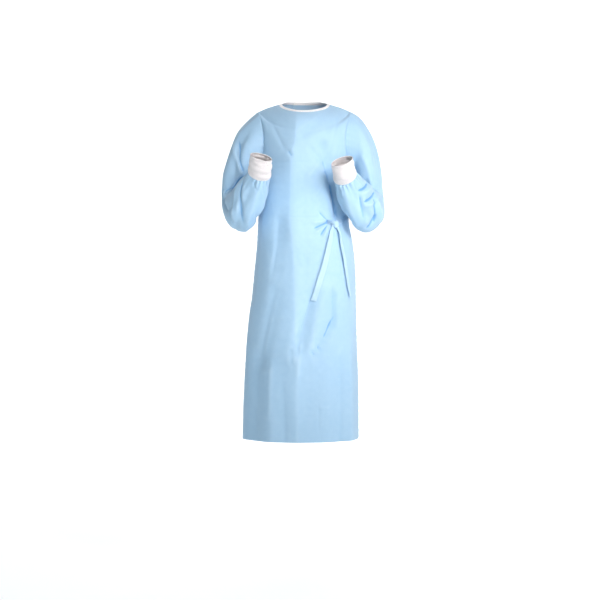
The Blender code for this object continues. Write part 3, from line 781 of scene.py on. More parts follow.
def place_object(
    name: str, points: Array, faces: list, uv: Array, look: bpy.types.Material
) -> bpy.types.Object:
    """Puts arrays into a smooth mesh object at the origin.

    Args:
        name: The piece's name.
        points: Its points.
        faces: Lists of point numbers.
        uv: Flat coordinates for each corner of each face, in order.
        look: Its material.

    Returns:
        The object, which rides on the one body.
    """
    mesh = bpy.data.meshes.new(name)
    mesh.from_pydata(points.tolist(), [], faces)
    mesh.uv_layers.new(name="UVMap").data.foreach_set("uv", uv.ravel())
    mesh.materials.append(look)
    mesh.shade_smooth()
    piece = bpy.data.objects.new(name, mesh)
    bpy.context.scene.collection.objects.link(piece)
    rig.ride(piece, "root")
    LOG.info("%s: %d faces", name, len(faces))
    return piece


def cloth_object(
    name: str, surfaces: list[Surface], look: bpy.types.Material, thickness: float
) -> bpy.types.Object:
    """Makes a thin shell of one or more surfaces, its thickness laid inwards.

    Args:
        name: The piece's name.
        surfaces: Its grids.
        look: Its material.
        thickness: The cloth's thickness.

    Returns:
        The object.
    """
    points, faces, corners, folds, start = [], [], [], [], 0
    for surface in surfaces:
        rows, columns = surface.points.shape[:2]
        cells = cell_faces(rows, columns, surface.closed)
        flat_columns = columns + surface.closed
        uv_cells = cell_faces(rows, flat_columns, False)
        uv = surface.uv.reshape(-1, 2)[uv_cells]
        edges = surface.points[0, 1] - surface.points[0, 0], surface.points[1, 0] - surface.points[0, 0]
        if np.cross(*edges).dot(surface.normals[0, 0]) < 0:
            cells, uv = cells[:, ::-1], uv[:, ::-1]
        points.append(surface.points.reshape(-1, 3))
        faces.append(cells + start)
        corners.append(uv.reshape(-1, 2))
        fold = np.zeros((rows, columns)) if surface.fold is None else surface.fold
        folds.append(fold.ravel())
        start += rows * columns
    arrays = (np.concatenate(points), np.concatenate(faces).tolist(), np.concatenate(corners))
    piece = place_object(name, *arrays, look)
    # The fold attribute carries the bend and the painted shade of the creases, for the material.
    attribute = piece.data.attributes.new("fold", "FLOAT", "POINT")
    attribute.data.foreach_set("value", np.concatenate(folds))
    shell = piece.modifiers.new("Thickness", "SOLIDIFY")
    shell.thickness = thickness
    shell.offset = -1
    return piece


class Level(NamedTuple):
    """The body's half widths to each side and depths at a height, and how square it is."""

    height: float
    right: float
    left: float
    front: float
    back: float
    square: float


class Ring(NamedTuple):
    """A ring of the yoke: the middle of the front and back, and their arcs' half turns."""

    place: float
    front_z: float
    front_y: float
    front_turn: float
    back_z: float
    back_y: float
    back_turn: float


@dataclass(frozen=True)
class Body:
    """The plain form of the gown's body, as its solids have it.

    A place runs from 0 at the hem through 1 at the armpit and 2 at the shoulder point to 3
    at the neck, and across runs from -1 at the right edge to 1 at the left edge.
    """

    hem: float = -1.127
    armpit: float = -0.235
    shoulder: float = -0.029
    seam_y: float = 0.010
    armhole_x: float = 0.156
    armhole_half_depth: float = 0.078
    armhole_hollow: float = 0.020
    neck_edge: tuple[float, float, float] = (0.084, 0.010, -0.004)
    shoulder_arch: float = 0.003
    levels: tuple[Level, ...] = (
        Level(-1.127, -0.2060, 0.1830, -0.158, 0.142, 0.05),
        Level(-1.040, -0.2045, 0.1820, -0.154, 0.140, 0.05),
        Level(-0.930, -0.2020, 0.1810, -0.150, 0.138, 0.05),
        Level(-0.820, -0.1960, 0.1770, -0.146, 0.134, 0.05),
        Level(-0.690, -0.1810, 0.1725, -0.142, 0.128, 0.05),
        Level(-0.560, -0.1670, 0.1700, -0.138, 0.120, 0.05),
        Level(-0.470, -0.1590, 0.1615, -0.134, 0.110, 0.04),
        Level(-0.400, -0.1560, 0.1490, -0.130, 0.102, 0.03),
        Level(-0.330, -0.1520, 0.1500, -0.131, 0.106, 0.02),
        Level(-0.235, -0.1560, 0.1560, -0.133, 0.114, 0.0),
    )
    yoke: tuple[Ring, ...] = (
        Ring(1.00, -0.235, -0.133, 90, -0.235, 0.114, 90),
        Ring(1.15, -0.215, -0.133, 76, -0.212, 0.116, 71),
        Ring(1.30, -0.193, -0.132, 66, -0.187, 0.117, 57),
        Ring(1.50, -0.164, -0.130, 61, -0.152, 0.118, 51),
        Ring(1.75, -0.131, -0.126, 63, -0.109, 0.117, 55),
        Ring(2.00, -0.100, -0.118, 70, -0.071, 0.112, 66),
        Ring(2.50, -0.061, -0.097, 82, -0.028, 0.100, 80),
        Ring(3.00, -0.035, -0.072, 90, 0.002, 0.086, 90),
    )

    def height(self, place: Array) -> Array:
        """The height of places up to the armpit."""
        return self.hem + (self.armpit - self.hem) * np.clip(place, 0, 1)

    def place_of(self, height: Array) -> Array:
        """The place of heights between the hem and the armpit."""
        return (np.asarray(height) - self.hem) / (self.armpit - self.hem)

    def level(self, name: str, height: Array) -> Array:
        """A column of the levels at any heights."""
        return smooth(column(self.levels, "height"), column(self.levels, name), height)

    def armhole(self, side: Side, angle: Array) -> Array:
        """Points of an armhole, an ellipse that bows in, from the shoulder forward and down."""
        half_height = (self.shoulder - self.armpit) / 2
        x = side.value * (self.armhole_x - self.armhole_hollow * np.sin(angle) ** 2)
        y = self.seam_y - self.armhole_half_depth * np.sin(angle)
        z = self.armpit + half_height * (1 + np.cos(angle))
        return np.stack([x, y, z], axis=-1)

    def edge(self, side: Side, face: Face, place: Array) -> Array:
        """A panel's side edge: the side seam, then the armhole, then the shoulder seam."""
        height = self.height(place)
        half_width = self.level("left" if side is Side.LEFT else "right", height)
        seam = np.stack([half_width, np.full_like(height, self.seam_y), height], axis=-1)
        angle = math.pi * (2 - np.clip(place, 1, 2))
        armhole = self.armhole(side, -face.value * angle)
        along = np.clip(place - 2, 0, 1)[:, None]
        start = np.array([side.value * self.armhole_x, self.seam_y, self.shoulder])
        end = np.array([side.value * self.neck_edge[0], *self.neck_edge[1:]])
        arch = np.array([0, 0, self.shoulder_arch]) * np.sin(math.pi * along)
        shoulder = start + (end - start) * along + arch
        place = place[:, None]
        return np.where(place <= 1, seam, np.where(place <= 2, armhole, shoulder))

    def middle(self, face: Face, place: Array) -> Array:
        """The middle line of the front or the back, from the hem to the neck."""
        name = face.name.lower()
        height = self.height(place)
        centre = (self.level("left", height) + self.level("right", height)) / 2
        low = np.stack([centre, self.level(name, height), height], axis=-1)
        at, rings = np.clip(place, 1, 3), column(self.yoke, "place")
        y = smooth(rings, column(self.yoke, name + "_y"), at)
        z = smooth(rings, column(self.yoke, name + "_z"), at)
        high = np.stack([np.zeros_like(at), y, z], axis=-1)
        return np.where(place[:, None] <= 1, low, high)

    def points(self, face: Face, place: Array, across: Array) -> Array:
        """The plain surface of the front or back.

        Each row is an arc from edge to edge: sideways it goes as the sine of its turn over
        that of its half turn, and forward as the cosine, so that 90 degrees is an ellipse.

        Args:
            face: Front or back.
            place: The rows.
            across: The columns.

        Returns:
            Rows by columns of points.
        """
        left, right = self.edge(Side.LEFT, face, place), self.edge(Side.RIGHT, face, place)
        middle = self.middle(face, place)[:, None, :]
        turns = column(self.yoke, face.name.lower() + "_turn")
        turn = smooth(column(self.yoke, "place"), turns, np.clip(place, 1, 3))
        turn = np.radians(np.where(place <= 1, 90.0, turn))[:, None]
        square = np.where(place < 1, self.level("square", self.height(place)), 0.0)[:, None]
        across = across[None, :]
        edge = np.where(across[..., None] > 0, left[:, None, :], right[:, None, :])
        puff = 1 + square * np.sin(math.pi * across) ** 2
        out = np.sin(turn * np.abs(across)) / np.sin(turn) * puff
        reach = (np.cos(turn * across) - np.cos(turn)) / (1 - np.cos(turn))
        x = middle[..., 0] + (edge[..., 0] - middle[..., 0]) * out
        y = edge[..., 1] + (middle[..., 1] - edge[..., 1]) * reach * puff
        z = edge[..., 2] + (middle[..., 2] - edge[..., 2]) * reach
        return np.stack([x, y, z], axis=-1)


def bend_shading(rise: Array, sharp: float = 0.0011) -> Array:
    """How sharply a rise bends, from -4 in a deep trough to 1 on a ridge; the material paints shade in the troughs by
    it and lightens the ridges.
    """
    bend = np.zeros_like(rise)
    for axis in (0, 1):
        bend -= np.gradient(np.gradient(rise, axis=axis), axis=axis)
    return np.clip(bend / sharp, -4, 1)


def finer(knots: Array, span: tuple[float, float]) -> Array:
    """Rising numbers with one more half way between each two that lie in a span."""
    middles = (knots[:-1] + knots[1:]) / 2
    return np.union1d(knots, middles[(middles > span[0]) & (middles < span[1])])


@dataclass(frozen=True)
class Panel:
    """A body panel's own detail on the plain form: folds, creases, puckers and crumple.

    Attributes:
        face: Front or back.
        folds: The large folds, as the solids have them, in distances round and heights.
        creases: The smaller creases, seen from outside, in x and z.
        crumple: The scattered crumple.
        columns: How many cells go across.
        rows: How many cells go up to the armpit, round the armhole and to the neck.
        fine_rows: Between which places the rows are twice as close.
        fine_columns: Between which columns they are twice as close.
    """

    face: Face
    folds: tuple[Crease, ...]
    creases: tuple[Crease, ...]
    crumple: Crumple
    columns: int = 140
    rows: tuple[int, int, int] = (172, 50, 18)
    fine_rows: tuple[float, float] = (0.0, 0.0)
    fine_columns: tuple[float, float] = (0.0, 0.0)
    edge_fade: float = 0.10
    neck_fade: float = 0.6
    seam_swell: float = 0.0008
    seam_width: float = 0.0022
    pucker: float = 0.0007
    pucker_length: float = 0.021

    def surface(self, body: Body) -> Surface:
        """Works out the panel's outer surface over the whole face.

        The rise along the normals is the sum of the folds, the creases and the crumple,
        each faded out at the panel's edges, and a swell that leaves a groove at each seam.
        Puckers are a sine along the seam that dies away from it.

        Args:
            body: The plain form.

        Returns:
            The surface, with edge columns drawn close together.
        """
        ends = np.linspace(0, 1, self.rows[0] + 1), np.linspace(1, 2, self.rows[1] + 1)[1:]
        place = np.concatenate([*ends, np.linspace(2, 3, self.rows[2] + 1)[1:]])
        place = finer(place, self.fine_rows)
        near = 1 - np.array([0.002, 0.005, 0.009])
        across = np.union1d(np.linspace(-1, 1, self.columns + 1), np.concatenate([-near, near]))
        across = finer(across, self.fine_columns)
        points = body.points(self.face, place, across)
        normals = -self.face.value * grid_normals(points, False)
        u, v = self.flat(points, across)
        z = points[..., 2]
        inset = np.clip((1 - np.abs(across)) / self.edge_fade, 0, 1)[None, :]
        below_neck = np.clip((3 - place) / self.neck_fade, 0, 1)[:, None]
        rise = crease_rise(u, z, list(self.folds)) * inset * below_neck
        half = np.where(across[None, :] > 0, u[:, -1:], -u[:, :1])
        off_seam = half - np.abs(u)
        small = [self.rounded(crease, points, u) for crease in self.creases]
        low, high = (u.min(), z.min()), (u.max(), z.max())
        fine = crease_rise(u, z, small + self.crumple.creases(low, high), small=True)
        fine += self.crumple.rise(u, v)
        rise += fine * ease(off_seam / 0.018) * ease((3 - place) / 0.25)[:, None]
        wave = np.sin(math.tau * v / self.pucker_length + 3 * np.sin(9 * v))
        rise += self.pucker * wave * off_seam / 0.006 * np.exp(-off_seam / 0.009)
        rise += self.seam_swell * (1 - np.exp(-((off_seam / self.seam_width) ** 2)))
        made = Surface(points, normals, np.stack([u, v], -1), place, across)
        # The bend less the painted shade of the shaded creases, which the material paints as shade.
        made.fold = bend_shading(rise) - crease_rise(u, z, shades(small), small=True)
        return made.raised(rise)

    def flat(self, points: Array, across: Array) -> tuple[Array, Array]:
        """Distances round from the middle column, and up it."""
        middle = int(np.abs(across).argmin())
        steps = np.linalg.norm(np.diff(points, axis=1), axis=-1)
        u = np.concatenate([np.zeros((len(points), 1)), np.cumsum(steps, axis=1)], axis=1)
        climb = np.linalg.norm(np.diff(points[:, middle], axis=0), axis=-1)
        v = np.concatenate([[0.0], np.cumsum(climb)])[:, None] + 0 * u
        return u - u[:, [middle]], v

    def rounded(self, crease: Crease, points: Array, u: Array) -> Crease:
        """The same crease with its ends' x turned into distances round the panel."""
        ends = []
        for x, z in ((crease.x0, crease.z0), (crease.x1, crease.z1)):
            row = int(np.abs(points[:, points.shape[1] // 2, 2] - z).argmin())
            ends.append(float(np.interp(x, points[row, :, 0], u[row])))
        return crease._replace(x0=ends[0], x1=ends[1])


class CapRing(NamedTuple):
    """A ring of a sleeve's cap: its outer and inner points, its middle and half depth."""

    x_out: float
    z_out: float
    x_in: float
    z_in: float
    y_mid: float
    half_depth: float


class ArmRing(NamedTuple):
    """A ring of the arm: degrees turned, distance along the forearm, place and sizes."""

    turn: float
    along: float
    x_mid: float
    half_width: float
    inner: float
    outer: float


class ArmCrease(NamedTuple):
    """A sleeve's crease from one ring and direction to another, in degrees round, and its painted shade."""

    ring0: float
    angle0: float
    ring1: float
    angle1: float
    half_width: float
    rise: float
    profile: Profile = Profile.SOFT
    shade: float = 0.0


@dataclass(frozen=True)
class Sleeve:
    """One set-in sleeve, from the armhole round the bent elbow to the cuff.

    Angles run round each ring from the outer side at 0 through the inside of the elbow at
    90 degrees.
    """

    side: Side
    cap: tuple[CapRing, ...]
    arm: tuple[ArmRing, ...]
    folds: tuple[ArmCrease, ...]
    creases: tuple[ArmCrease, ...]
    crumple: Crumple
    pivot_y: float = -0.060
    pivot_z: float = -0.285
    elbow_radius: float = 0.062
    square_radius: float = 0.110
    fold_fade: float = 2.0
    fold_taper: float = 1.2
    columns: int = 160
    rows: int = 190
    gather_height: float = 0.0024
    gather_reach: float = 0.022
    gathers: int = 17

    def rings(self, body: Body) -> Array:
        """Every ring of the table: its centre, and its half vectors out, in and back."""
        sign = self.side.value
        top = (body.shoulder + body.armpit) / 2
        half_height = (body.shoulder - body.armpit) / 2
        depth = body.armhole_half_depth
        start = (sign * body.armhole_x, body.seam_y, top), (0, 0, half_height)
        rings = [(*start, (0, -depth, 0), (0, depth, 0))]
        for cap in self.cap:
            centre = (sign * (cap.x_out + cap.x_in) / 2, cap.y_mid, (cap.z_out + cap.z_in) / 2)
            out = (sign * (cap.x_out - cap.x_in) / 2, 0, (cap.z_out - cap.z_in) / 2)
            rings.append((centre, out, (0, -cap.half_depth, 0), (0, cap.half_depth, 0)))
        turn, along = np.radians(column(self.arm, "turn")), column(self.arm, "along")
        y = self.pivot_y + self.elbow_radius * np.cos(turn) - along * np.sin(turn)
        z = self.pivot_z - self.elbow_radius * np.sin(turn) - along * np.cos(turn)
        centres = np.stack([sign * column(self.arm, "x_mid"), y, z], axis=-1)
        wider = self.square_radius - self.elbow_radius
        path = centres + wider * np.stack([0 * turn, np.cos(turn), -np.sin(turn)], axis=-1)
        tangents = np.gradient(path, axis=0)
        tangents[0] = (0, 0, -1)
        for arm, centre, tangent, bend in zip(self.arm, centres, unit(tangents), turn):
            out = unit(np.array([sign, 0, 0]) - sign * tangent[0] * tangent)
            fold = np.array([0, -math.cos(bend), math.sin(bend)])
            fold = unit(fold - fold.dot(tangent) * tangent)
            rings.append((centre, out * arm.half_width, fold * arm.inner, -fold * arm.outer))
        return np.array([np.concatenate(ring) for ring in rings])

    def surface(self, body: Body) -> Surface:
        """Works out the sleeve's outer surface.

        A point is its ring's centre plus the half vectors times the cosine and sine of its
        angle. The first ring is the armhole itself, and the bow of the armhole dies away
        over the first ring of the cap. Creases go along the normals as on the panels.

        Args:
            body: The plain form of the body, for the armhole.

        Returns:
            The surface, closed round.
        """
        table = self.rings(body)
        last = len(table) - 1
        near = np.array([0.02, 0.06, 0.12])
        number = np.union1d(np.linspace(0, last, self.rows + 1), np.append(near, last - near))
        angle = np.arange(self.columns) * math.tau / self.columns
        rings = smooth(np.arange(last + 1), table, number)
        points = ring_points(rings, angle)
        bow = (1 - np.clip(number, 0, 1)[:, None]) ** 2
        points[..., 0] -= self.side.value * body.armhole_hollow * np.sin(angle) ** 2 * bow
        normals = self.side.value * grid_normals(points, True)
        number = number[:, None]
        radius = np.linalg.norm(points - rings[:, None, :3], axis=-1)
        rise = self.crease_sum(self.folds, number, angle, radius)
        rise *= np.clip(np.minimum(number, last - number) / self.fold_fade, 0, 1)
        steps = np.linalg.norm(np.diff(points, axis=0), axis=-1)
        v = np.concatenate([np.zeros((1, self.columns)), np.cumsum(steps, axis=0)])
        room = np.gradient(v, axis=0) / np.gradient(v, axis=0).mean()
        from_end = v[-1:] - v
        mean_v = v.mean(axis=1, keepdims=True)
        around = 8 * self.crumple.cell
        u = angle[None, :] * around / math.tau + 0 * v
        fine = self.crumple.rise(u, mean_v + 0 * u, period=8)
        fine += self.wrinkles((*self.creases, *self.scatter(last)), number, angle, radius, mean_v)
        seam = np.minimum(v, from_end)
        rise += fine * ease(seam / 0.02) * np.clip(room / 0.6, 0.2, 1)
        wobble = self.gathers * angle + 1.3 * np.sin(3 * angle) + 0.9 * np.sin(5 * angle + 1)
        gather = self.gather_height * np.sin(wobble)[None, :]
        rise += gather * ease(from_end / 0.005) * np.exp(-((from_end / self.gather_reach) ** 2))
        wave = np.sin(23 * angle + 2 * np.sin(4 * angle))[None, :]
        rise += 0.0007 * wave * v / 0.006 * np.exp(-v / 0.009)
        rise += 0.0008 * (1 - np.exp(-((seam / 0.0022) ** 2)))
        flat = np.append(angle, math.tau)[None, :] * 0.062 + 0 * mean_v
        made = Surface(points, normals, np.stack([flat, mean_v + 0 * flat], -1), number[:, 0], angle)
        made.closed = True
        # The painted shade of the shaded creases, taken off the bend for the material.
        dark = self.wrinkles(shades(self.creases), number, angle, radius, mean_v)
        made.fold = bend_shading(rise) - dark
        return made.raised(rise)

    def scatter(self, last: int) -> list[ArmCrease]:
        """Short creases scattered over the sleeve, closer together about the elbow."""
        draw = np.random.default_rng(self.crumple.seed)
        found = []
        for _ in range(self.crumple.count):
            ring = draw.uniform(0.5, last) if draw.random() < 0.5 else draw.normal(9, 2.2)
            angle, swing = draw.uniform(0, 360), draw.normal(0, 38)
            reach, width = draw.uniform(0.15, 1.4), draw.uniform(0.004, 0.009)
            rise = draw.uniform(-1, 1) * self.crumple.height
            ends = (ring - reach, angle - swing, ring + reach, angle + swing)
            found.append(ArmCrease(*ends, width, rise, Profile.PRESSED))
        return found

    def wrinkles(
        self, creases: tuple, number: Array, angle: Array, radius: Array, along: Array
    ) -> Array:
        """Sums small creases, each a straight line on the sleeve rolled out flat.

        A crease's flat coordinates are the distance along the sleeve, and the angle from
        its own start times the sleeve's mean radius half way along it.

        Args:
            creases: The creases.
            number: Ring numbers, one a row.
            angle: Directions round.
            radius: Each point's distance from its ring's centre.
            along: Each row's distance along the sleeve.

        Returns:
            The rise at each point.
        """
        rows, sizes = number[:, 0], radius.mean(axis=1)
        total = np.zeros(radius.shape)
        for crease in creases:
            ends = np.interp((crease.ring0, crease.ring1), rows, along[:, 0])
            size = np.interp((crease.ring0 + crease.ring1) / 2, rows, sizes)
            start, swing = math.radians(crease.angle0), crease.angle1 - crease.angle0
            reach = math.radians((swing + 180) % 360 - 180) * size
            turn = ((angle - start + math.pi) % math.tau - math.pi) * size
            line = Crease(0.0, ends[0], reach, ends[1], *crease[4:])
            total += crease_rise(turn[None, :], along, [line], small=True)
        return total

    def crease_sum(
        self, creases: tuple, number: Array, angle: Array, radius: Array
    ) -> Array:
        """Sums the large folds, which run from ring to ring as the solids have them.

        A crease's line swings evenly from its first angle to its last, a point's distance
        off it is the angle between them times the radius, and it dies away past its ends.

        Args:
            creases: The creases.
            number: Ring numbers, one a row.
            angle: Directions round.
            radius: Each point's distance from its ring's centre.

        Returns:
            The rise at each point.
        """
        total = np.zeros(radius.shape)
        for crease in creases:
            share = np.clip((number - crease.ring0) / (crease.ring1 - crease.ring0), 0, 1)
            past = np.maximum(np.maximum(crease.ring0 - number, number - crease.ring1), 0)
            swing = (crease.angle1 - crease.angle0 + 180) % 360 - 180
            line = np.radians(crease.angle0 + swing * share)
            off = (angle[None, :] - line + math.pi) % math.tau - math.pi
            shape = fall_off(off * radius, 0 * radius, crease.half_width, Profile.SOFT, 1.0)
            total += crease.rise * shape * np.exp(-((past / self.fold_taper) ** 2))
        return total


def ring_points(rings: Array, angle: Array) -> Array:
    """Points round rings, each its centre plus its half vectors by cosine and sine."""
    centre, out, inner, outer = np.split(rings[:, None, :], 4, axis=2)
    c, s = np.cos(angle)[None, :, None], np.sin(angle)[None, :, None]
    return centre + out * c + inner * np.maximum(s, 0) - outer * np.minimum(s, 0)


class CuffRing(NamedTuple):
    """A ring of a cuff: distance up, share of the sleeve end's size, degrees bent upright."""

    along: float
    size: float
    bend: float


@dataclass(frozen=True)
class Cuff:
    """A ribbed knitted cuff, its upper edge turned in."""

    side: Side
    seed: int
    ribs: int = 96
    rib_height: float = 0.0008
    cells_a_rib: int = 4
    rows: int = 52
    lean: float = 0.17
    thickness: float = 0.0011
    rings: tuple[CuffRing, ...] = (
        CuffRing(0.000, 1.000, 0),
        CuffRing(0.011, 1.045, 2),
        CuffRing(0.023, 0.990, 6),
        CuffRing(0.037, 1.005, 11),
        CuffRing(0.051, 0.965, 16),
        CuffRing(0.065, 0.975, 20),
    )
    turn_in: tuple[tuple[float, float], ...] = (
        (0.0006, 0.0005),
        (0.0008, 0.0014),
        (0.0002, 0.0021),
        (-0.0040, 0.0023),
    )

    def surface(self, sleeve_end: Array) -> Surface:
        """Works out the cuff's outer surface.

        The rings go on from the sleeve's last ring and bend upright. A rib is the square
        root of a sine's size, so that it is round with a sharp valley on each side. Slack
        folds are a noise that is stretched round the wrist.

        Args:
            sleeve_end: The sleeve's last ring: centre and three half vectors.

        Returns:
            The surface, closed round, with the turned edge as its last rows.
        """
        sign = self.side.value
        centre, out, inner, outer = np.split(sleeve_end, 4)
        axis = unit(np.cross(out, inner) * sign)
        fold = unit(inner)
        table, last = [], 0.0
        for ring in self.rings:
            bend = math.radians(ring.bend)
            ahead = axis * math.cos(bend) + fold * math.sin(bend)
            ahead = unit(ahead + np.array([sign * self.lean, 0, 0]))
            centre = centre + ahead * (ring.along - last)
            last = ring.along
            across = fold * math.cos(bend) - axis * math.sin(bend)
            depths = [across * np.linalg.norm(inner), -across * np.linalg.norm(outer)]
            halves = (half * ring.size for half in (out, *depths))
            table.append(np.concatenate([centre, *halves]))
        at = np.linspace(0, len(table) - 1, self.rows + 1)
        angle = np.arange(self.ribs * self.cells_a_rib) * math.tau / (self.ribs * self.cells_a_rib)
        points = ring_points(smooth(np.arange(len(table)), np.array(table), at), angle)
        normals = sign * grid_normals(points, True)
        v = np.interp(at, np.arange(len(table)), column(self.rings, "along"))[:, None]
        rib = np.sqrt(np.abs(np.sin(self.ribs / 2 * angle)))[None, :]
        slack = Noise(1.0, self.seed, 5).at(angle[None, :] * 5 / math.tau, v / 0.014)
        rise = self.rib_height * rib + 0.0042 * slack * ease(v / 0.012) * ease((0.068 - v) / 0.012)
        rise += 0.0009 * np.exp(-(((v - 0.0015) / 0.0014) ** 2))
        body = points + normals * rise[..., None]
        ahead = unit(points[-1] - points[-2])
        turned = [body[-1] + ahead * up - normals[-1] * inward for up, inward in self.turn_in]
        flat_u = np.append(angle, math.tau)[None, :] * 0.2 / math.tau
        rows = np.append(v[:, 0], v[-1, 0] + 0.001 * np.arange(1, 5))[:, None]
        uv = np.stack([flat_u + 0 * rows, rows + 0 * flat_u], -1)
        points = np.concatenate([body, np.array(turned)])
        normals = np.concatenate([normals, normals[-1:].repeat(len(turned), axis=0)])
        return Surface(points, normals, uv, rows[:, 0], angle, True)


def strip_surface(lines: list[tuple[Array, Array]], lift: Array) -> Surface:
    """A ribbon's outer surface, off lines of points that run along it.

    Args:
        lines: The points and normals of each line on what it lies on.
        lift: How far off that each point lies, rows along by columns across.

    Returns:
        The surface, rows along the ribbon.
    """
    points, normals = (np.stack([line[k] for line in lines], axis=1) for k in range(2))
    points = points + normals * lift[..., None]
    along = np.linalg.norm(np.diff(points[:, points.shape[1] // 2], axis=0), axis=-1)
    v = np.concatenate([[0.0], np.cumsum(along)])
    across = np.linalg.norm(np.diff(points, axis=1), axis=-1).mean(axis=0)
    u = np.concatenate([[0.0], np.cumsum(across)])
    uv = np.stack(np.meshgrid(u, v), axis=-1)
    made = Surface(points, normals, uv, v, u)
    outward = grid_normals(points, False)
    outward *= np.sign((outward * normals).sum(axis=-1, keepdims=True))
    made.normals = outward
    return made


class TiePoint(NamedTuple):
    """A point of a tie on the front: across (x), height, width, and lift off the cloth."""

    x: float
    z: float
    width: float
    lift: float


@dataclass(frozen=True)
class Ties:
    """The waist ties: flat folded strips that meet in a knot at the left of the waist."""

    knot: tuple[float, float] = (0.0970, -0.4065)
    knot_lift: float = 0.0079
    knot_margin: float = 0.0094
    clearance: float = 0.0010
    width: float = 0.018
    narrow: float = 0.012
    thickness: float = 0.0009
    lean: float = 0.0058
    end_curl: float = 0.0030
    lines: int = 13
    short: tuple[TiePoint, ...] = (
        TiePoint(0.0730, -0.4010, 0.018, 0.0006),
        TiePoint(0.0795, -0.4033, 0.014, 0.0022),
        TiePoint(0.0864, -0.4062, 0.009, 0.0056),
        TiePoint(0.0910, -0.4070, 0.008, 0.0075),
    )
    short_end: tuple[TiePoint, ...] = (
        TiePoint(0.0940, -0.4110, 0.008, 0.0080),
        TiePoint(0.0905, -0.4200, 0.010, 0.0062),
        TiePoint(0.0860, -0.4350, 0.014, 0.0040),
        TiePoint(0.0800, -0.4750, 0.018, 0.0026),
        TiePoint(0.0650, -0.5400, 0.018, 0.0032),
        TiePoint(0.0480, -0.6000, 0.018, 0.0026),
        TiePoint(0.0305, -0.6620, 0.018, 0.0018),
    )
    long_end: tuple[TiePoint, ...] = (
        TiePoint(0.1000, -0.4120, 0.008, 0.0080),
        TiePoint(0.1050, -0.4210, 0.010, 0.0062),
        TiePoint(0.1120, -0.4350, 0.014, 0.0038),
        TiePoint(0.1195, -0.4750, 0.018, 0.0024),
        TiePoint(0.1300, -0.5300, 0.018, 0.0034),
        TiePoint(0.1400, -0.5900, 0.018, 0.0024),
        TiePoint(0.1485, -0.6480, 0.018, 0.0020),
    )

    def on_front(self, body: Body, front: Surface, table: tuple, steps: int, seed: int) -> Surface:
        """A tie along a table of places on the front panel.

        Each of its lines runs beside the table's path at its share of the width. Its lift
        is the table's, plus pleats where it is drawn narrow, a curled left edge, and a slow
        wave with small cross creases.

        Args:
            body: The plain form, for heights.
            front: The front panel's surface.
            table: The tie's points.
            steps: How many cells it has along it.
            seed: The start of its crumple.

        Returns:
            The tie's outer surface.
        """
        at = np.linspace(0, len(table) - 1, steps + 1)
        path = smooth(np.arange(len(table)), np.array(table), at)
        along = unit(np.gradient(path[:, :2], axis=0))
        across = self.across_of(body, front, path[:, 0], path[:, 1])
        small = 0.01
        places = body.place_of(path[:, 1])
        reach = front.at(across + small, places)[0] - front.at(across, places)[0]
        stretch = np.linalg.norm(reach, axis=-1)
        shares = np.linspace(-0.5, 0.5, self.lines)
        lines = []
        for share in shares:
            sideways = path[:, 2] * share
            moved = across - sideways * along[:, 1] * small / stretch
            lines.append(front.at(moved, body.place_of(path[:, 1] + sideways * along[:, 0])))
        share_down = at[:, None] / at[-1]
        lean = self.lean * ease(3 * share_down) * (1 + 0.35 * np.sin(7 * share_down + seed))
        lean = lean + self.end_curl * ease((share_down - 0.9) / 0.1)
        raised = path[:, 3:] + lean * (0.5 - shares[None, :])
        return strip_surface(lines, raised + self.relief(path[:, 2], shares, at, seed))

    def relief(self, width: Array, shares: Array, at: Array, seed: int) -> Array:
        """The small form of a tie: pleats where narrow, rolled edges, and cross creases."""
        drawn = np.clip((self.width - width) / (self.width - 0.009), 0, 1)[:, None]
        share = shares[None, :]
        pleats = 0.0011 * drawn * np.cos(4 * math.tau * share + 2 * np.sin(at)[:, None])
        edges = 0.0003 * (1 - np.abs(np.abs(share) - 0.42) / 0.08).clip(0, 1)
        middle = -0.0004 * np.exp(-((share / 0.05) ** 2))
        crumple = 0.0009 * np.abs(Noise(0.35, seed).at(share + 0 * at[:, None], at[:, None]))
        return pleats + edges + middle + crumple * (1 - drawn)

    def across_of(self, body: Body, front: Surface, x: Array, height: Array) -> Array:
        """How far across the front a distance x from the middle is, at each height."""
        columns = front.columns
        line = front.at(columns[None, :] + 0 * height[:, None], body.place_of(height)[:, None] + 0 * columns)
        return np.array([np.interp(value, row[:, 0], columns) for value, row in zip(x, line[0])])

    def round_side(self, body: Body, front: Surface, back: Surface) -> Surface:
        """The long tie, from the knot round the left side to the outer back panel's edge."""
        start = self.across_of(body, front, np.array([self.knot[0] + 0.003]), np.array([self.knot[1]]))[0]
        seam, root, steps = 0.35, 0.36, 110
        share = np.linspace(0, 1, steps + 1)
        ahead = share <= seam
        round_front = start + (1 - start) * share[ahead] / seam
        round_back = 1 + (root - 1) * (share[~ahead] - seam) / (1 - seam)
        height = smooth([0, seam, 1], [self.knot[1], -0.372, -0.385], share)
        width = self.width - (self.width - self.narrow) * np.clip(1 - share / seam, 0, 1)
        shares = np.linspace(-0.5, 0.5, self.lines)
        lines = []
        for part in shares:
            place = body.place_of(height + width * part)
            at_front = front.at(round_front, place[ahead])
            at_back = back.at(round_back, place[~ahead])
            over = ease((round_back - 0.54) / 0.18)
            lifted = at_back[0] + at_back[1] * (OuterBack.layer_rise * (1 - over))[:, None]
            lines.append((np.concatenate([at_front[0], lifted]), np.concatenate([at_front[1], at_back[1]])))
        near_knot = np.clip(1 - share / 0.10, 0, 1)[:, None]
        lift = self.clearance + (self.knot_lift - 2 * self.clearance) * near_knot
        lean = self.lean * ease((seam - share) / seam)[:, None] * (0.5 - shares[None, :])
        return strip_surface(lines, lift + 0.0006 + lean + self.relief(width, shares, 14 * share, 71))

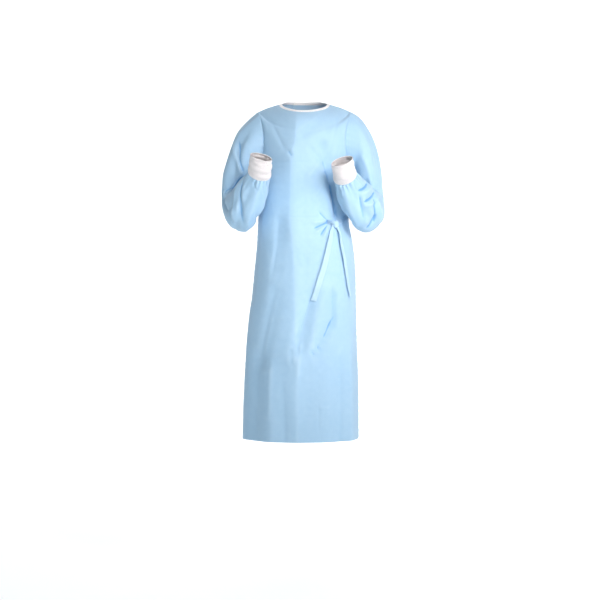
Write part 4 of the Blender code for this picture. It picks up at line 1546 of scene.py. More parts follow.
    def knot_surfaces(self, body: Body, front: Surface) -> list[Surface]:
        """The knot: two bands wrapped round a bunched core.

        The core is a tube with pleats along it, thinner at its ends. A band is a ring of
        cloth round the core, its radius least at its two edges, so that it bulges.

        Args:
            body: The plain form, for heights.
            front: The front panel's surface, which it lies on.

        Returns:
            The surfaces of the core and the bands.
        """
        x, z = np.array([self.knot[0]]), np.array([self.knot[1]])
        across = self.across_of(body, front, x, z)
        centre, out = (found[0] for found in front.at(across, body.place_of(z)))
        out = unit(out * np.array([1, 1, 0]))
        side = unit(np.cross(np.array([0, 0, 1.0]), -out))
        up = np.cross(-out, side) * -1
        if up[2] < 0:
            up = -up
        centre = centre + out * self.knot_lift
        found = []
        parts = (
            (0.42, (0.0, 0.0), 0.0150, 0.0075, 0.0062, 0.0),
            (0.42, (0.0005, -0.0005), 0.0068, 0.0122, 0.0094, 1.0),
            (-0.65, (-0.0042, 0.0020), 0.0052, 0.0110, 0.0086, 2.0),
        )
        for turn, (shift, rise), half_length, radius, depth, kind in parts:
            axis = side * math.cos(turn) + up * math.sin(turn)
            beside = up * math.cos(turn) - side * math.sin(turn)
            angle = np.arange(48) * math.tau / 48
            s = np.linspace(-1, 1, 25)[:, None]
            if kind:
                size = 0.80 + 0.20 * np.sqrt(np.clip(1 - s**2 * 0.9, 0, 1))
                pleat = 0.05 * np.cos(2.5 * math.pi * s + 1.5 * np.sin(angle) + kind)
            else:
                size = (0.62 + 0.30 * np.cos(s * 1.3)) * np.sqrt(1 - 0.96 * s**8)
                pleat = 0.13 * np.cos(9 * angle + 1.2 * np.sin(3 * s)) * (1 - s**8)
            crumple = 0.16 * np.abs(Noise(1.0, 80 + int(kind), 8).at(angle * 8 / math.tau, 2.5 * s))
            grow = (size + pleat + (crumple - 0.03) * (1 - s**8))[..., None]
            ring = beside * radius * np.cos(angle)[None, :, None] + out * depth * np.sin(angle)[None, :, None]
            middle = centre + side * shift + up * rise
            points = middle + axis * (half_length * s)[..., None] + ring * grow
            normals = unit(ring + 0 * points)
            flat = np.append(angle, math.tau)[None, :] * radius + 0 * s
            uv = np.stack([flat, half_length * s + 0 * flat], axis=-1)
            found.append(Surface(points, normals, uv, s[:, 0], angle, True))
        return found


@dataclass(frozen=True)
class Binding:
    """The neck binding: a tape folded over the neckline, its ends lapped at the back."""

    width: float = 0.0105
    overlap: float = 0.0015
    half_thickness: float = 0.00125
    columns: int = 20
    pucker_length: float = 0.0075

    def tube(self, line: Array, normal: Array) -> tuple[Surface, Array]:
        """Works out the folded tape's outside.

        Its section is a flat loop with round ends, x = w cos(a), y = t |sin(a)|^0.5 signed,
        and its flat sides are puckered by a sine along the tape.

        Args:
            line: The neckline, from the inner back edge round to the outer one.
            normal: Its outward normals.

        Returns:
            The surface, closed round the section, and the upward direction along the line.
        """
        length = np.concatenate([[0], np.cumsum(np.linalg.norm(np.diff(line, axis=0), axis=-1))])
        along = unit(np.gradient(line, axis=0))
        rise = unit(np.cross(along, normal))
        angle = np.arange(self.columns) * math.tau / self.columns
        c, s = np.cos(angle)[None, :], np.sin(angle)[None, :]
        pucker = np.sin(math.tau * length / self.pucker_length + 2 * np.sin(25 * length))[:, None]
        thick = self.half_thickness + 0.00025 * pucker * (1 - c) * 0.7
        from_end = np.minimum(length, length[-1] - length)[:, None]
        thick = thick * (0.35 + 0.65 * ease(from_end / 0.003))
        high = (self.width / 2 - self.overlap + self.width / 2 * c)[..., None]
        deep = (thick * np.sign(s) * np.sqrt(np.abs(s)))[..., None]
        points = line[:, None] + rise[:, None] * high + normal[:, None] * (deep - 0.0003)
        normals = unit(rise[:, None] * c[..., None] * 0.2 + normal[:, None] * s[..., None])
        flat = np.append(angle, math.tau)[None, :] * 0.004 + 0 * length[:, None]
        uv = np.stack([flat, length[:, None] + 0 * flat], axis=-1)
        return Surface(points, normals, uv, length, angle, True), rise


def neckline(front: Surface, inner: Surface, outer: Surface) -> tuple[Array, Array]:
    """The neckline's points and normals, from the inner back edge round to the outer one."""
    parts = ((inner, 1), (front, -1), (outer, 1))
    line = [part.points[-1][::step] for part, step in parts]
    normal = [part.normals[-1][::step] for part, step in parts]
    line = np.concatenate([line[0], line[1][1:-1], line[2]])
    normal = np.concatenate([normal[0], normal[1][1:-1], normal[2]])
    return line, unit(normal)


@dataclass(frozen=True)
class OuterBack:
    """How the outer back panel stands off the inner one, and its edges."""

    layer_rise = 0.0042
    rise_from: float = -0.9
    rise_to: float = -0.4
    inner_edge: float = -0.3
    outer_edge: float = 0.5

    def offset(self, across: Array) -> Array:
        """How far the outer panel stands off at each column."""
        return self.layer_rise * ease((across - self.rise_from) / (self.rise_to - self.rise_from))


@dataclass(frozen=True)
class Stitching:
    """Rows of lockstitches, each a short rounded length of thread half sunk in the cloth."""

    length: float = 0.0029
    pitch: float = 0.0040
    half_width: float = 0.00034
    half_height: float = 0.00026

    def build(
        self, name: str, rows: list[tuple[Array, Array]], look: bpy.types.Material
    ) -> bpy.types.Object:
        """Makes every stitch of several rows in one piece.

        A stitch is four rings of four points along its length, narrow at both ends.

        Args:
            name: The piece's name.
            rows: The points and the normals of each row's line.
            look: The thread.

        Returns:
            The object.
        """
        found = []
        for line, normal in rows:
            steps = np.linalg.norm(np.diff(line, axis=0), axis=-1)
            length = np.concatenate([[0], np.cumsum(steps)])
            at = np.arange(self.pitch / 2, length[-1], self.pitch)
            columns = np.concatenate([line, unit(np.gradient(line, axis=0)), normal], axis=1)
            found.append(np.stack([np.interp(at, length, each) for each in columns.T], axis=1))
        centre, way, out = np.split(np.concatenate(found)[:, None, None, :], 3, axis=-1)
        way, out = unit(way), unit(out)
        side = np.cross(way, out)
        reach = np.array([-1.0, -0.6, 0.6, 1.0])[None, :, None, None] * self.length / 2
        size = np.array([0.35, 1.0, 1.0, 0.35])[None, :, None, None]
        turn = (np.arange(4) + 0.5)[None, None, :, None] * math.pi / 2
        ring = side * np.cos(turn) * self.half_width + out * np.sin(turn) * self.half_height
        points = centre + way * reach + ring * size + 0 * turn
        cells = cell_faces(4, 4, True)[:, ::-1]
        caps = np.array([[0, 1, 2, 3], [15, 14, 13, 12]])
        one = np.concatenate([cells, caps])
        faces = (one[None] + 16 * np.arange(len(centre))[:, None, None]).reshape(-1, 4)
        uv = np.zeros((faces.size, 2))
        return place_object(name, points.reshape(-1, 3), faces.tolist(), uv, look)


@dataclass(frozen=True)
class Studio:
    """A pale sweep, soft lights and the camera at the photograph's viewing angle."""

    floor: float = -1.585
    camera_distance: float = 5.5
    camera_height: float = -0.5
    aim: tuple[float, float, float] = (-0.0152, 0.0, -0.662)
    lens: float = 97.75
    sensor: float = 36.0
    warm: Colour = (1.0, 0.90, 0.87)
    cool: Colour = (0.80, 0.93, 1.0)

    def build(self) -> None:
        """Builds the sweep, the lights and the camera."""
        self.sweep()
        self.world()
        chest, wall = (0.0, 0.0, -0.45), (0.0, 4.4, 0.0)
        self.lamp("key", (2.3, -2.3, 0.6), chest, 0.9, 46.0)
        self.lamp("front", (1.0, -3.1, 0.7), (0.13, 0.0, -0.42), 0.9, 3.0, 26.0)
        self.lamp("top", (0.2, -0.6, 1.7), chest, 0.8, 2.0)
        self.lamp("backdrop", (0.0, 2.0, 2.6), wall, 3.0, 40.0)
        self.camera()

    def sweep(self) -> None:
        """The floor, bent up behind the gown as a quarter circle and then a wall."""
        radius, back, half = 1.5, 2.6, 6.0
        bend = np.linspace(0, math.pi / 2, 24)
        y = np.concatenate([[-7.0], back + radius * np.sin(bend), [back + radius]])
        z = np.concatenate([[0.0], radius * (1 - np.cos(bend)), [6.0]]) + self.floor
        x = np.array([-half, half])
        points = np.stack([x[None, :] + 0 * y[:, None], y[:, None] + 0 * x, z[:, None] + 0 * x], -1)
        mesh = bpy.data.meshes.new("floor")
        mesh.from_pydata(points.reshape(-1, 3).tolist(), [], cell_faces(len(y), 2, False).tolist())
        mesh.shade_smooth()
        look = Graph("pale floor", 0.9, 0.0)
        look.shader.inputs["Base Color"].default_value = (0.93, 0.93, 0.93, 1)
        look.shader.inputs["Emission Color"].default_value = (0.96, 0.985, 1.0, 1)
        look.shader.inputs["Emission Strength"].default_value = 0.47
        mesh.materials.append(look.material)
        floor = bpy.data.objects.new("floor", mesh)
        bpy.context.scene.collection.objects.link(floor)
        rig.stage(floor)

    def world(self) -> None:
        """An even pale surround."""
        world = bpy.data.worlds.new("studio")
        world.use_nodes = True
        background = world.node_tree.nodes["Background"]
        background.inputs["Color"].default_value = (*self.cool, 1.0)
        background.inputs["Strength"].default_value = 0.30
        bpy.context.scene.world = world
        bpy.context.scene.view_settings.view_transform = "Standard"

    def lamp(
        self,
        name: str,
        place: tuple,
        target: tuple,
        size: float,
        power: float,
        spread: float = 180.0,
    ) -> None:
        """A square soft light that looks at a target and spreads by some degrees."""
        data = bpy.data.lights.new(name, "AREA")
        data.shape = "SQUARE"
        data.size = size
        data.energy = power
        data.color = self.warm
        data.spread = math.radians(spread)
        lamp = bpy.data.objects.new(name, data)
        lamp.location = place
        lamp.rotation_euler = self.look(place, target)
        bpy.context.scene.collection.objects.link(lamp)

    def look(self, place: tuple, target: tuple) -> tuple[float, float, float]:
        """The turn that points -Z from a place at a target, with Y up."""
        x, y, z = (t - p for t, p in zip(target, place))
        return (math.atan2(math.hypot(x, y), -z), 0.0, math.atan2(-x, y))

    def camera(self) -> None:
        """The camera, level with the gown's waist and tilted slightly down."""
        data = bpy.data.cameras.new("camera")
        data.lens = self.lens
        data.sensor_width = self.sensor
        camera = bpy.data.objects.new("camera", data)
        place = (self.aim[0], -self.camera_distance, self.camera_height)
        camera.location = place
        camera.rotation_euler = self.look(place, self.aim)
        bpy.context.scene.collection.objects.link(camera)
        bpy.context.scene.camera = camera


FRONT = Panel(
    face=Face.FRONT,
    folds=(
        Crease(-0.028, -0.050, -0.046, -0.180, 0.030, 0.0035),
        Crease(-0.046, -0.180, -0.034, -0.420, 0.028, 0.0030),
        Crease(-0.034, -0.420, -0.024, -0.850, 0.030, 0.0040),
        Crease(-0.024, -0.850, -0.024, -1.127, 0.030, 0.0045),
        Crease(0.062, -0.060, -0.004, -0.115, 0.014, -0.0030),
        Crease(0.060, -0.150, 0.098, -0.245, 0.024, -0.0130),
        Crease(0.098, -0.245, 0.120, -0.370, 0.020, -0.0090),
        Crease(0.030, -0.640, -0.012, -0.830, 0.024, -0.0060),
        Crease(0.062, -0.610, 0.030, -0.800, 0.022, 0.0050),
        Crease(0.100, -0.650, 0.095, -0.740, 0.020, -0.0070),
        Crease(0.095, -0.740, 0.052, -0.830, 0.018, -0.0055),
        Crease(0.130, -0.860, 0.128, -1.127, 0.026, -0.0075),
        Crease(0.178, -0.800, 0.182, -1.127, 0.026, 0.0060),
        Crease(-0.092, -0.640, -0.140, -0.860, 0.026, -0.0060),
        Crease(-0.160, -0.860, -0.165, -1.127, 0.030, -0.0070),
        Crease(-0.215, -0.700, -0.235, -1.127, 0.030, 0.0060),
        Crease(-0.080, -0.400, -0.092, -0.560, 0.022, -0.0040),
        Crease(-0.105, -0.900, -0.100, -1.127, 0.026, 0.0045),
    ),
    creases=(
        Crease(-0.0247, -0.0386, -0.0313, -0.1374, 0.0090, 0.0012, Profile.PRESSED),
        Crease(-0.0313, -0.1374, -0.0458, -0.1803, 0.0090, 0.0013, Profile.PRESSED),
        Crease(-0.0458, -0.1803, -0.0478, -0.3517, 0.0090, 0.0008, Profile.PRESSED),
        Crease(-0.0478, -0.3517, -0.0313, -0.6582, 0.0220, 0.0028, Profile.PRESSED),
        Crease(-0.0313, -0.6582, -0.0247, -0.8230, 0.0260, 0.0036, Profile.PRESSED),
        Crease(-0.0247, -0.8230, -0.0247, -1.1263, 0.0340, 0.0050, Profile.PRESSED),
        Crease(-0.0410, -0.3846, 0.0940, -0.3850, 0.0070, -0.0010, Profile.PRESSED),
        Crease(-0.0940, -0.2050, 0.0016, -0.2040, 0.0070, -0.0010, Profile.PRESSED),
        Crease(-0.0480, -0.1730, -0.0440, -0.1800, 0.0060, -0.0030, shade=2.2),
        Crease(0.0643, -0.0386, -0.0115, -0.1012, 0.0070, -0.0012, Profile.PRESSED),
        Crease(0.0280, -0.1650, 0.0676, -0.2132, 0.0120, -0.0040),
        Crease(0.0676, -0.2132, 0.0960, -0.2900, 0.0130, -0.0060, shade=2.0),
        Crease(0.0960, -0.2900, 0.1120, -0.3650, 0.0120, -0.0120, shade=2.7),
        Crease(0.0560, -0.1980, 0.0200, -0.2400, 0.0080, 0.0018),
        Crease(0.0760, -0.2500, 0.0450, -0.3000, 0.0070, 0.0014, Profile.PRESSED),
        Crease(0.0760, -0.4015, 0.0412, -0.4176, 0.0046, -0.0066, Profile.PRESSED, 2.1),
        Crease(0.0780, -0.4060, 0.0577, -0.4374, 0.0046, -0.0066, Profile.PRESSED, 2.1),
        Crease(0.0700, -0.3960, 0.0380, -0.4020, 0.0044, 0.0040, Profile.PRESSED),
        Crease(0.0720, -0.4120, 0.0450, -0.4300, 0.0044, 0.0042, Profile.PRESSED),
        Crease(0.0760, -0.4110, 0.0660, -0.4420, 0.0040, 0.0030, Profile.PRESSED),
        Crease(0.0740, -0.3940, 0.0540, -0.3740, 0.0044, -0.0046, Profile.PRESSED, 2.0),
        Crease(0.0800, -0.4010, 0.0835, -0.4030, 0.0044, -0.0046, shade=3.0),
        Crease(0.0208, -0.6516, -0.0190, -0.7700, 0.0120, -0.0054, Profile.PRESSED),
        Crease(-0.0190, -0.7700, -0.0200, -0.8300, 0.0110, -0.0044, Profile.PRESSED),
        Crease(-0.0148, -0.8131, -0.0204, -0.8945, 0.0080, 0.0032, Profile.PRESSED),
        Crease(0.0929, -0.6400, 0.0963, -0.7180, 0.0100, -0.0066, Profile.PRESSED),
        Crease(0.0963, -0.7180, 0.0700, -0.7700, 0.0090, -0.0066, Profile.PRESSED, 1.3),
        Crease(0.0700, -0.7700, 0.0455, -0.8121, 0.0080, -0.0030, Profile.PRESSED),
        Crease(0.1080, -0.6500, 0.1090, -0.7300, 0.0100, 0.0030),
        Crease(0.0445, -0.8131, 0.0470, -0.8190, 0.0060, -0.0034),
        Crease(0.0247, -0.8296, 0.0280, -0.8350, 0.0060, -0.0030),
        Crease(0.0511, -1.0109, 0.0742, -1.0109, 0.0045, 0.0016, Profile.PRESSED),
        Crease(0.0478, -1.0208, 0.0478, -1.0768, 0.0050, -0.0014, Profile.PRESSED),
        Crease(0.1226, -0.8560, 0.1226, -1.1130, 0.0100, -0.0024),
        Crease(-0.0916, -0.6516, -0.1302, -0.8164, 0.0100, 0.0020),
        Crease(-0.0445, -0.8296, -0.0412, -0.8659, 0.0070, -0.0020),
        Crease(-0.0900, -0.4300, -0.1050, -0.5600, 0.0080, -0.0016),
        Crease(-0.1100, -0.9000, -0.1150, -1.0200, 0.0090, 0.0018),
        Crease(-0.0700, -0.9600, -0.0640, -1.1100, 0.0090, -0.0014),
        Crease(0.0900, -0.9000, 0.0860, -1.0500, 0.0090, -0.0012),
        Crease(-0.1000, -0.0900, -0.0700, -0.1500, 0.0090, -0.0016),
        Crease(0.1050, -0.0800, 0.0900, -0.1500, 0.0090, -0.0016),
    ),
    crumple=Crumple(seed=11, count=80, waves=0.0013),
    fine_rows=(0.72, 0.88),
    fine_columns=(0.16, 0.56),
)

BACK = Panel(
    face=Face.BACK,
    folds=(
        Crease(0.000, -0.140, 0.010, -0.360, 0.030, -0.0060),
        Crease(0.080, -0.420, 0.100, -1.127, 0.030, 0.0080),
        Crease(0.020, -0.480, 0.030, -1.127, 0.028, -0.0080),
        Crease(-0.060, -0.440, -0.075, -1.127, 0.032, 0.0080),
        Crease(-0.130, -0.480, -0.150, -1.127, 0.028, -0.0070),
        Crease(0.160, -0.520, 0.175, -1.127, 0.028, -0.0060),
    ),
    creases=(
        Crease(-0.1000, -0.1000, -0.0400, -0.1700, 0.0100, -0.0022),
        Crease(-0.0500, -0.2000, 0.0500, -0.2060, 0.0070, -0.0010, Profile.PRESSED),
        Crease(-0.1000, -0.3850, 0.0300, -0.3840, 0.0070, -0.0010, Profile.PRESSED),
        Crease(-0.0300, -0.1200, -0.0300, -1.1200, 0.0100, 0.0012, Profile.PRESSED),
        Crease(-0.1200, -0.3000, -0.0700, -0.4200, 0.0090, -0.0026),
        Crease(-0.0600, -0.4400, -0.0800, -0.7200, 0.0090, 0.0020),
        Crease(0.0200, -0.4300, 0.0600, -0.6200, 0.0090, -0.0022),
        Crease(-0.0100, -0.5200, -0.0200, -0.9000, 0.0090, -0.0016),
        Crease(0.1100, -0.5000, 0.1200, -0.9000, 0.0090, 0.0018),
        Crease(-0.1200, -0.7000, -0.1300, -1.0500, 0.0090, -0.0018),
        Crease(0.0500, -0.8000, 0.0550, -1.1100, 0.0090, 0.0016),
        Crease(0.1150, -0.1000, 0.0600, -0.2100, 0.0100, -0.0030),
        Crease(-0.1150, -0.1600, -0.0600, -0.2600, 0.0100, -0.0032),
        Crease(0.0780, -0.3900, 0.0200, -0.4100, 0.0060, -0.0048, Profile.PRESSED, 1.9),
        Crease(0.0780, -0.3960, 0.0300, -0.4380, 0.0060, -0.0044, Profile.PRESSED, 1.8),
        Crease(0.0780, -0.3820, 0.0200, -0.3560, 0.0060, -0.0040, Profile.PRESSED, 1.6),
        Crease(0.0760, -0.3880, 0.0300, -0.3920, 0.0050, 0.0034, Profile.PRESSED),
        Crease(0.0760, -0.4000, 0.0260, -0.4250, 0.0050, 0.0032, Profile.PRESSED),
        Crease(-0.0500, -0.4700, -0.0700, -0.6400, 0.0180, -0.0085, Profile.PRESSED),
        Crease(-0.0700, -0.6400, -0.0640, -0.8300, 0.0180, -0.0070, Profile.PRESSED),
        Crease(0.0420, -0.5200, 0.0560, -0.7200, 0.0160, -0.0075, Profile.PRESSED),
        Crease(-0.1300, -0.5600, -0.1380, -0.7800, 0.0170, -0.0066, Profile.PRESSED),
        Crease(0.0000, -0.8600, -0.0080, -1.0600, 0.0180, -0.0060, Profile.PRESSED),
        Crease(0.0860, -0.7800, 0.0820, -0.9600, 0.0110, 0.0046, Profile.PRESSED),
        Crease(-0.0700, -0.3300, 0.0000, -0.3400, 0.0080, -0.0046, Profile.PRESSED, 1.5),
        Crease(0.0000, -0.3400, 0.0560, -0.3240, 0.0080, -0.0040, Profile.PRESSED, 1.4),
        Crease(-0.0900, -0.3700, -0.0300, -0.3820, 0.0070, 0.0034, Profile.PRESSED),
        Crease(-0.0200, -0.2500, 0.0500, -0.2680, 0.0080, -0.0032, Profile.PRESSED, 1.2),
        Crease(-0.0300, -0.2900, -0.1100, -0.3500, 0.0080, -0.0036, Profile.PRESSED),
        Crease(-0.1100, -0.3500, -0.1350, -0.4200, 0.0080, -0.0030, Profile.PRESSED),
        Crease(-0.0950, -0.5600, -0.0600, -0.6900, 0.0110, -0.0046, Profile.PRESSED),
        Crease(-0.0600, -0.6900, -0.0660, -0.8100, 0.0110, -0.0040, Profile.PRESSED),
        Crease(0.0950, -0.6200, 0.0600, -0.7600, 0.0100, 0.0036, Profile.PRESSED),
        Crease(-0.1000, -0.7600, -0.0500, -0.7800, 0.0080, 0.0022, Profile.PRESSED),
        Crease(0.0100, -0.9000, 0.0200, -1.0800, 0.0100, 0.0026),
        Crease(-0.1450, -0.5000, -0.1500, -0.6400, 0.0090, 0.0030),
    ),
    crumple=Crumple(seed=31, count=90, waves=0.0016),
    columns=160,
)

LEFT_SLEEVE = Sleeve(
    side=Side.LEFT,
    cap=(
        CapRing(0.187, -0.051, 0.1680, -0.2385, 0.010, 0.081),
        CapRing(0.215, -0.091, 0.1690, -0.2450, 0.010, 0.082),
        CapRing(0.239, -0.143, 0.1685, -0.2520, 0.009, 0.079),
        CapRing(0.253, -0.198, 0.1675, -0.2600, 0.006, 0.074),
        CapRing(0.260, -0.242, 0.1670, -0.2690, 0.004, 0.070),
    ),
    arm=(
        ArmRing(0, 0.000, 0.2145, 0.0485, 0.055, 0.072),
        ArmRing(20, 0.000, 0.2150, 0.0500, 0.056, 0.077),
        ArmRing(40, 0.000, 0.2145, 0.0530, 0.056, 0.082),
        ArmRing(60, 0.000, 0.2125, 0.0560, 0.056, 0.085),
        ArmRing(80, 0.000, 0.2085, 0.0590, 0.056, 0.086),
        ArmRing(98, 0.000, 0.2030, 0.0615, 0.056, 0.084),
        ArmRing(114, 0.000, 0.1930, 0.0635, 0.055, 0.080),
        ArmRing(130, 0.000, 0.1800, 0.0630, 0.054, 0.074),
        ArmRing(130, 0.025, 0.1680, 0.0610, 0.052, 0.067),
        ArmRing(130, 0.055, 0.1560, 0.0545, 0.047, 0.057),
        ArmRing(130, 0.085, 0.1445, 0.0455, 0.040, 0.045),
        ArmRing(130, 0.106, 0.1365, 0.0395, 0.034, 0.036),
        ArmRing(130, 0.118, 0.1320, 0.0375, 0.031, 0.032),
    ),
    folds=(
        ArmCrease(3.0, 40, 7.0, 60, 0.016, -0.0050),
        ArmCrease(7.0, 35, 10.0, 350, 0.013, -0.0050),
        ArmCrease(9.5, 335, 13.0, 315, 0.013, 0.0040),
        ArmCrease(12.0, 300, 16.5, 285, 0.014, -0.0045),
        ArmCrease(12.5, 250, 17.0, 255, 0.014, 0.0040),
        ArmCrease(8.0, 180, 13.0, 220, 0.016, -0.0050),
    ),
    creases=(
        ArmCrease(15.6, 325, 15.0, 372, 0.0066, -0.0105, Profile.PRESSED, 3.4),
        ArmCrease(15.0, 335, 14.3, 375, 0.0052, 0.0062, Profile.PRESSED),
        ArmCrease(14.2, 322, 13.4, 368, 0.0068, -0.0115, Profile.PRESSED, 3.6),
        ArmCrease(13.7, 318, 12.8, 358, 0.0052, 0.0066, Profile.PRESSED),
        ArmCrease(13.1, 336, 11.9, 315, 0.0068, -0.0120, Profile.PRESSED, 3.8),
        ArmCrease(12.4, 346, 11.2, 335, 0.0060, 0.0066, Profile.PRESSED),
        ArmCrease(11.9, 315, 11.6, 284, 0.0064, -0.0090, Profile.PRESSED, 3.0),
        ArmCrease(14.9, 301, 13.3, 284, 0.0075, -0.0060, shade=1.8),
        ArmCrease(17.6, 309, 16.2, 307, 0.0042, -0.0034, Profile.PRESSED),
        ArmCrease(17.6, 350, 15.9, 345, 0.0042, -0.0030, Profile.PRESSED),
        ArmCrease(17.6, 250, 16.0, 243, 0.0042, 0.0026, Profile.PRESSED),
        ArmCrease(17.6, 200, 15.8, 190, 0.0046, -0.0030, Profile.PRESSED),
        ArmCrease(17.6, 130, 15.9, 138, 0.0042, -0.0026, Profile.PRESSED),
        ArmCrease(17.6, 60, 16.1, 52, 0.0042, 0.0026, Profile.PRESSED),
        ArmCrease(2.5, 96, 5.0, 84, 0.0100, 0.0026),
        ArmCrease(5.5, 96, 8.0, 58, 0.0080, -0.0060),
        ArmCrease(7.6, 40, 9.4, 12, 0.0070, -0.0040, Profile.PRESSED),
        ArmCrease(8.8, 20, 10.2, 350, 0.0070, 0.0036, Profile.PRESSED),
        ArmCrease(7.0, 130, 9.2, 160, 0.0070, -0.0042, Profile.PRESSED),
        ArmCrease(8.6, 140, 10.4, 178, 0.0070, 0.0036, Profile.PRESSED),
        ArmCrease(10.2, 205, 12.6, 235, 0.0075, -0.0040, Profile.PRESSED),
        ArmCrease(12.8, 180, 14.4, 205, 0.0060, -0.0036, Profile.PRESSED),
        ArmCrease(1.0, 250, 4.0, 262, 0.0110, 0.0030),
        ArmCrease(1.2, 205, 4.6, 225, 0.0100, -0.0030),
        ArmCrease(0.9, 20, 3.6, 28, 0.0090, -0.0026),
    ),
    crumple=Crumple(seed=51, count=90, cell=0.056, waves=0.0017),
)

RIGHT_SLEEVE = Sleeve(
    side=Side.RIGHT,
    cap=(
        CapRing(0.186, -0.054, 0.1680, -0.2385, 0.010, 0.081),
        CapRing(0.221, -0.091, 0.1690, -0.2450, 0.010, 0.082),
        CapRing(0.244, -0.143, 0.1690, -0.2520, 0.009, 0.079),
        CapRing(0.261, -0.198, 0.1685, -0.2600, 0.006, 0.074),
        CapRing(0.273, -0.242, 0.1680, -0.2690, 0.004, 0.070),
    ),
    arm=(
        ArmRing(0, 0.000, 0.2225, 0.0555, 0.055, 0.072),
        ArmRing(20, 0.000, 0.2235, 0.0565, 0.056, 0.077),
        ArmRing(40, 0.000, 0.2225, 0.0575, 0.056, 0.082),
        ArmRing(60, 0.000, 0.2185, 0.0595, 0.056, 0.085),
        ArmRing(80, 0.000, 0.2130, 0.0615, 0.056, 0.086),
        ArmRing(98, 0.000, 0.2070, 0.0625, 0.056, 0.084),
        ArmRing(116, 0.000, 0.2000, 0.0620, 0.055, 0.080),
        ArmRing(134, 0.000, 0.1900, 0.0600, 0.054, 0.074),
        ArmRing(134, 0.025, 0.1800, 0.0570, 0.051, 0.066),
        ArmRing(134, 0.055, 0.1690, 0.0510, 0.046, 0.056),
        ArmRing(134, 0.085, 0.1585, 0.0430, 0.039, 0.044),
        ArmRing(134, 0.108, 0.1510, 0.0385, 0.033, 0.035),
        ArmRing(134, 0.120, 0.1475, 0.0370, 0.030, 0.031),
    ),
    folds=(
        ArmCrease(2.0, 60, 7.0, 80, 0.018, -0.0070),
        ArmCrease(2.0, 30, 7.0, 40, 0.016, 0.0050),
        ArmCrease(9.0, 20, 13.0, 330, 0.014, -0.0060),
        ArmCrease(11.0, 290, 16.5, 300, 0.014, -0.0060),
        ArmCrease(11.5, 260, 16.5, 262, 0.014, 0.0050),
        ArmCrease(8.0, 180, 12.0, 215, 0.016, -0.0050),
    ),
    creases=(
        ArmCrease(8.2, 38, 5.2, 94, 0.0090, -0.0105, shade=3.7),
        ArmCrease(9.2, 36, 7.4, 70, 0.0070, 0.0050),
        ArmCrease(7.4, 14, 6.4, 52, 0.0060, -0.0056, Profile.PRESSED, 2.6),
        ArmCrease(3.1, 48, 4.1, 95, 0.0085, 0.0044),
        ArmCrease(2.6, 56, 3.6, 95, 0.0065, -0.0060, Profile.PRESSED, 2.6),
        ArmCrease(15.3, 342, 13.0, 287, 0.0080, -0.0080, shade=2.0),
        ArmCrease(14.6, 352, 12.6, 318, 0.0070, 0.0044),
        ArmCrease(12.2, 330, 11.4, 300, 0.0060, -0.0044, Profile.PRESSED),
        ArmCrease(17.1, 300, 16.2, 272, 0.0044, -0.0036, Profile.PRESSED),
        ArmCrease(17.6, 330, 15.8, 322, 0.0044, -0.0032, Profile.PRESSED),
        ArmCrease(17.6, 248, 15.9, 240, 0.0042, 0.0028, Profile.PRESSED),
        ArmCrease(17.6, 15, 16.0, 22, 0.0042, -0.0026, Profile.PRESSED),
        ArmCrease(17.6, 208, 15.7, 200, 0.0046, -0.0030, Profile.PRESSED),
        ArmCrease(17.6, 150, 16.0, 158, 0.0042, -0.0026, Profile.PRESSED),
        ArmCrease(17.6, 80, 16.1, 72, 0.0042, 0.0026, Profile.PRESSED),
        ArmCrease(9.8, 20, 11.4, 345, 0.0070, -0.0040, Profile.PRESSED),
        ArmCrease(6.6, 128, 8.8, 165, 0.0070, -0.0044, Profile.PRESSED),
        ArmCrease(8.4, 136, 10.6, 172, 0.0070, 0.0036, Profile.PRESSED),
        ArmCrease(10.6, 200, 12.8, 232, 0.0075, -0.0042, Profile.PRESSED),
        ArmCrease(13.0, 176, 14.6, 200, 0.0060, -0.0034, Profile.PRESSED),
        ArmCrease(0.9, 255, 3.8, 266, 0.0110, 0.0030),
        ArmCrease(1.3, 210, 4.8, 228, 0.0100, -0.0030),
        ArmCrease(0.8, 24, 3.2, 32, 0.0090, -0.0028),
    ),
    crumple=Crumple(seed=52, count=90, cell=0.056, waves=0.0017),
)


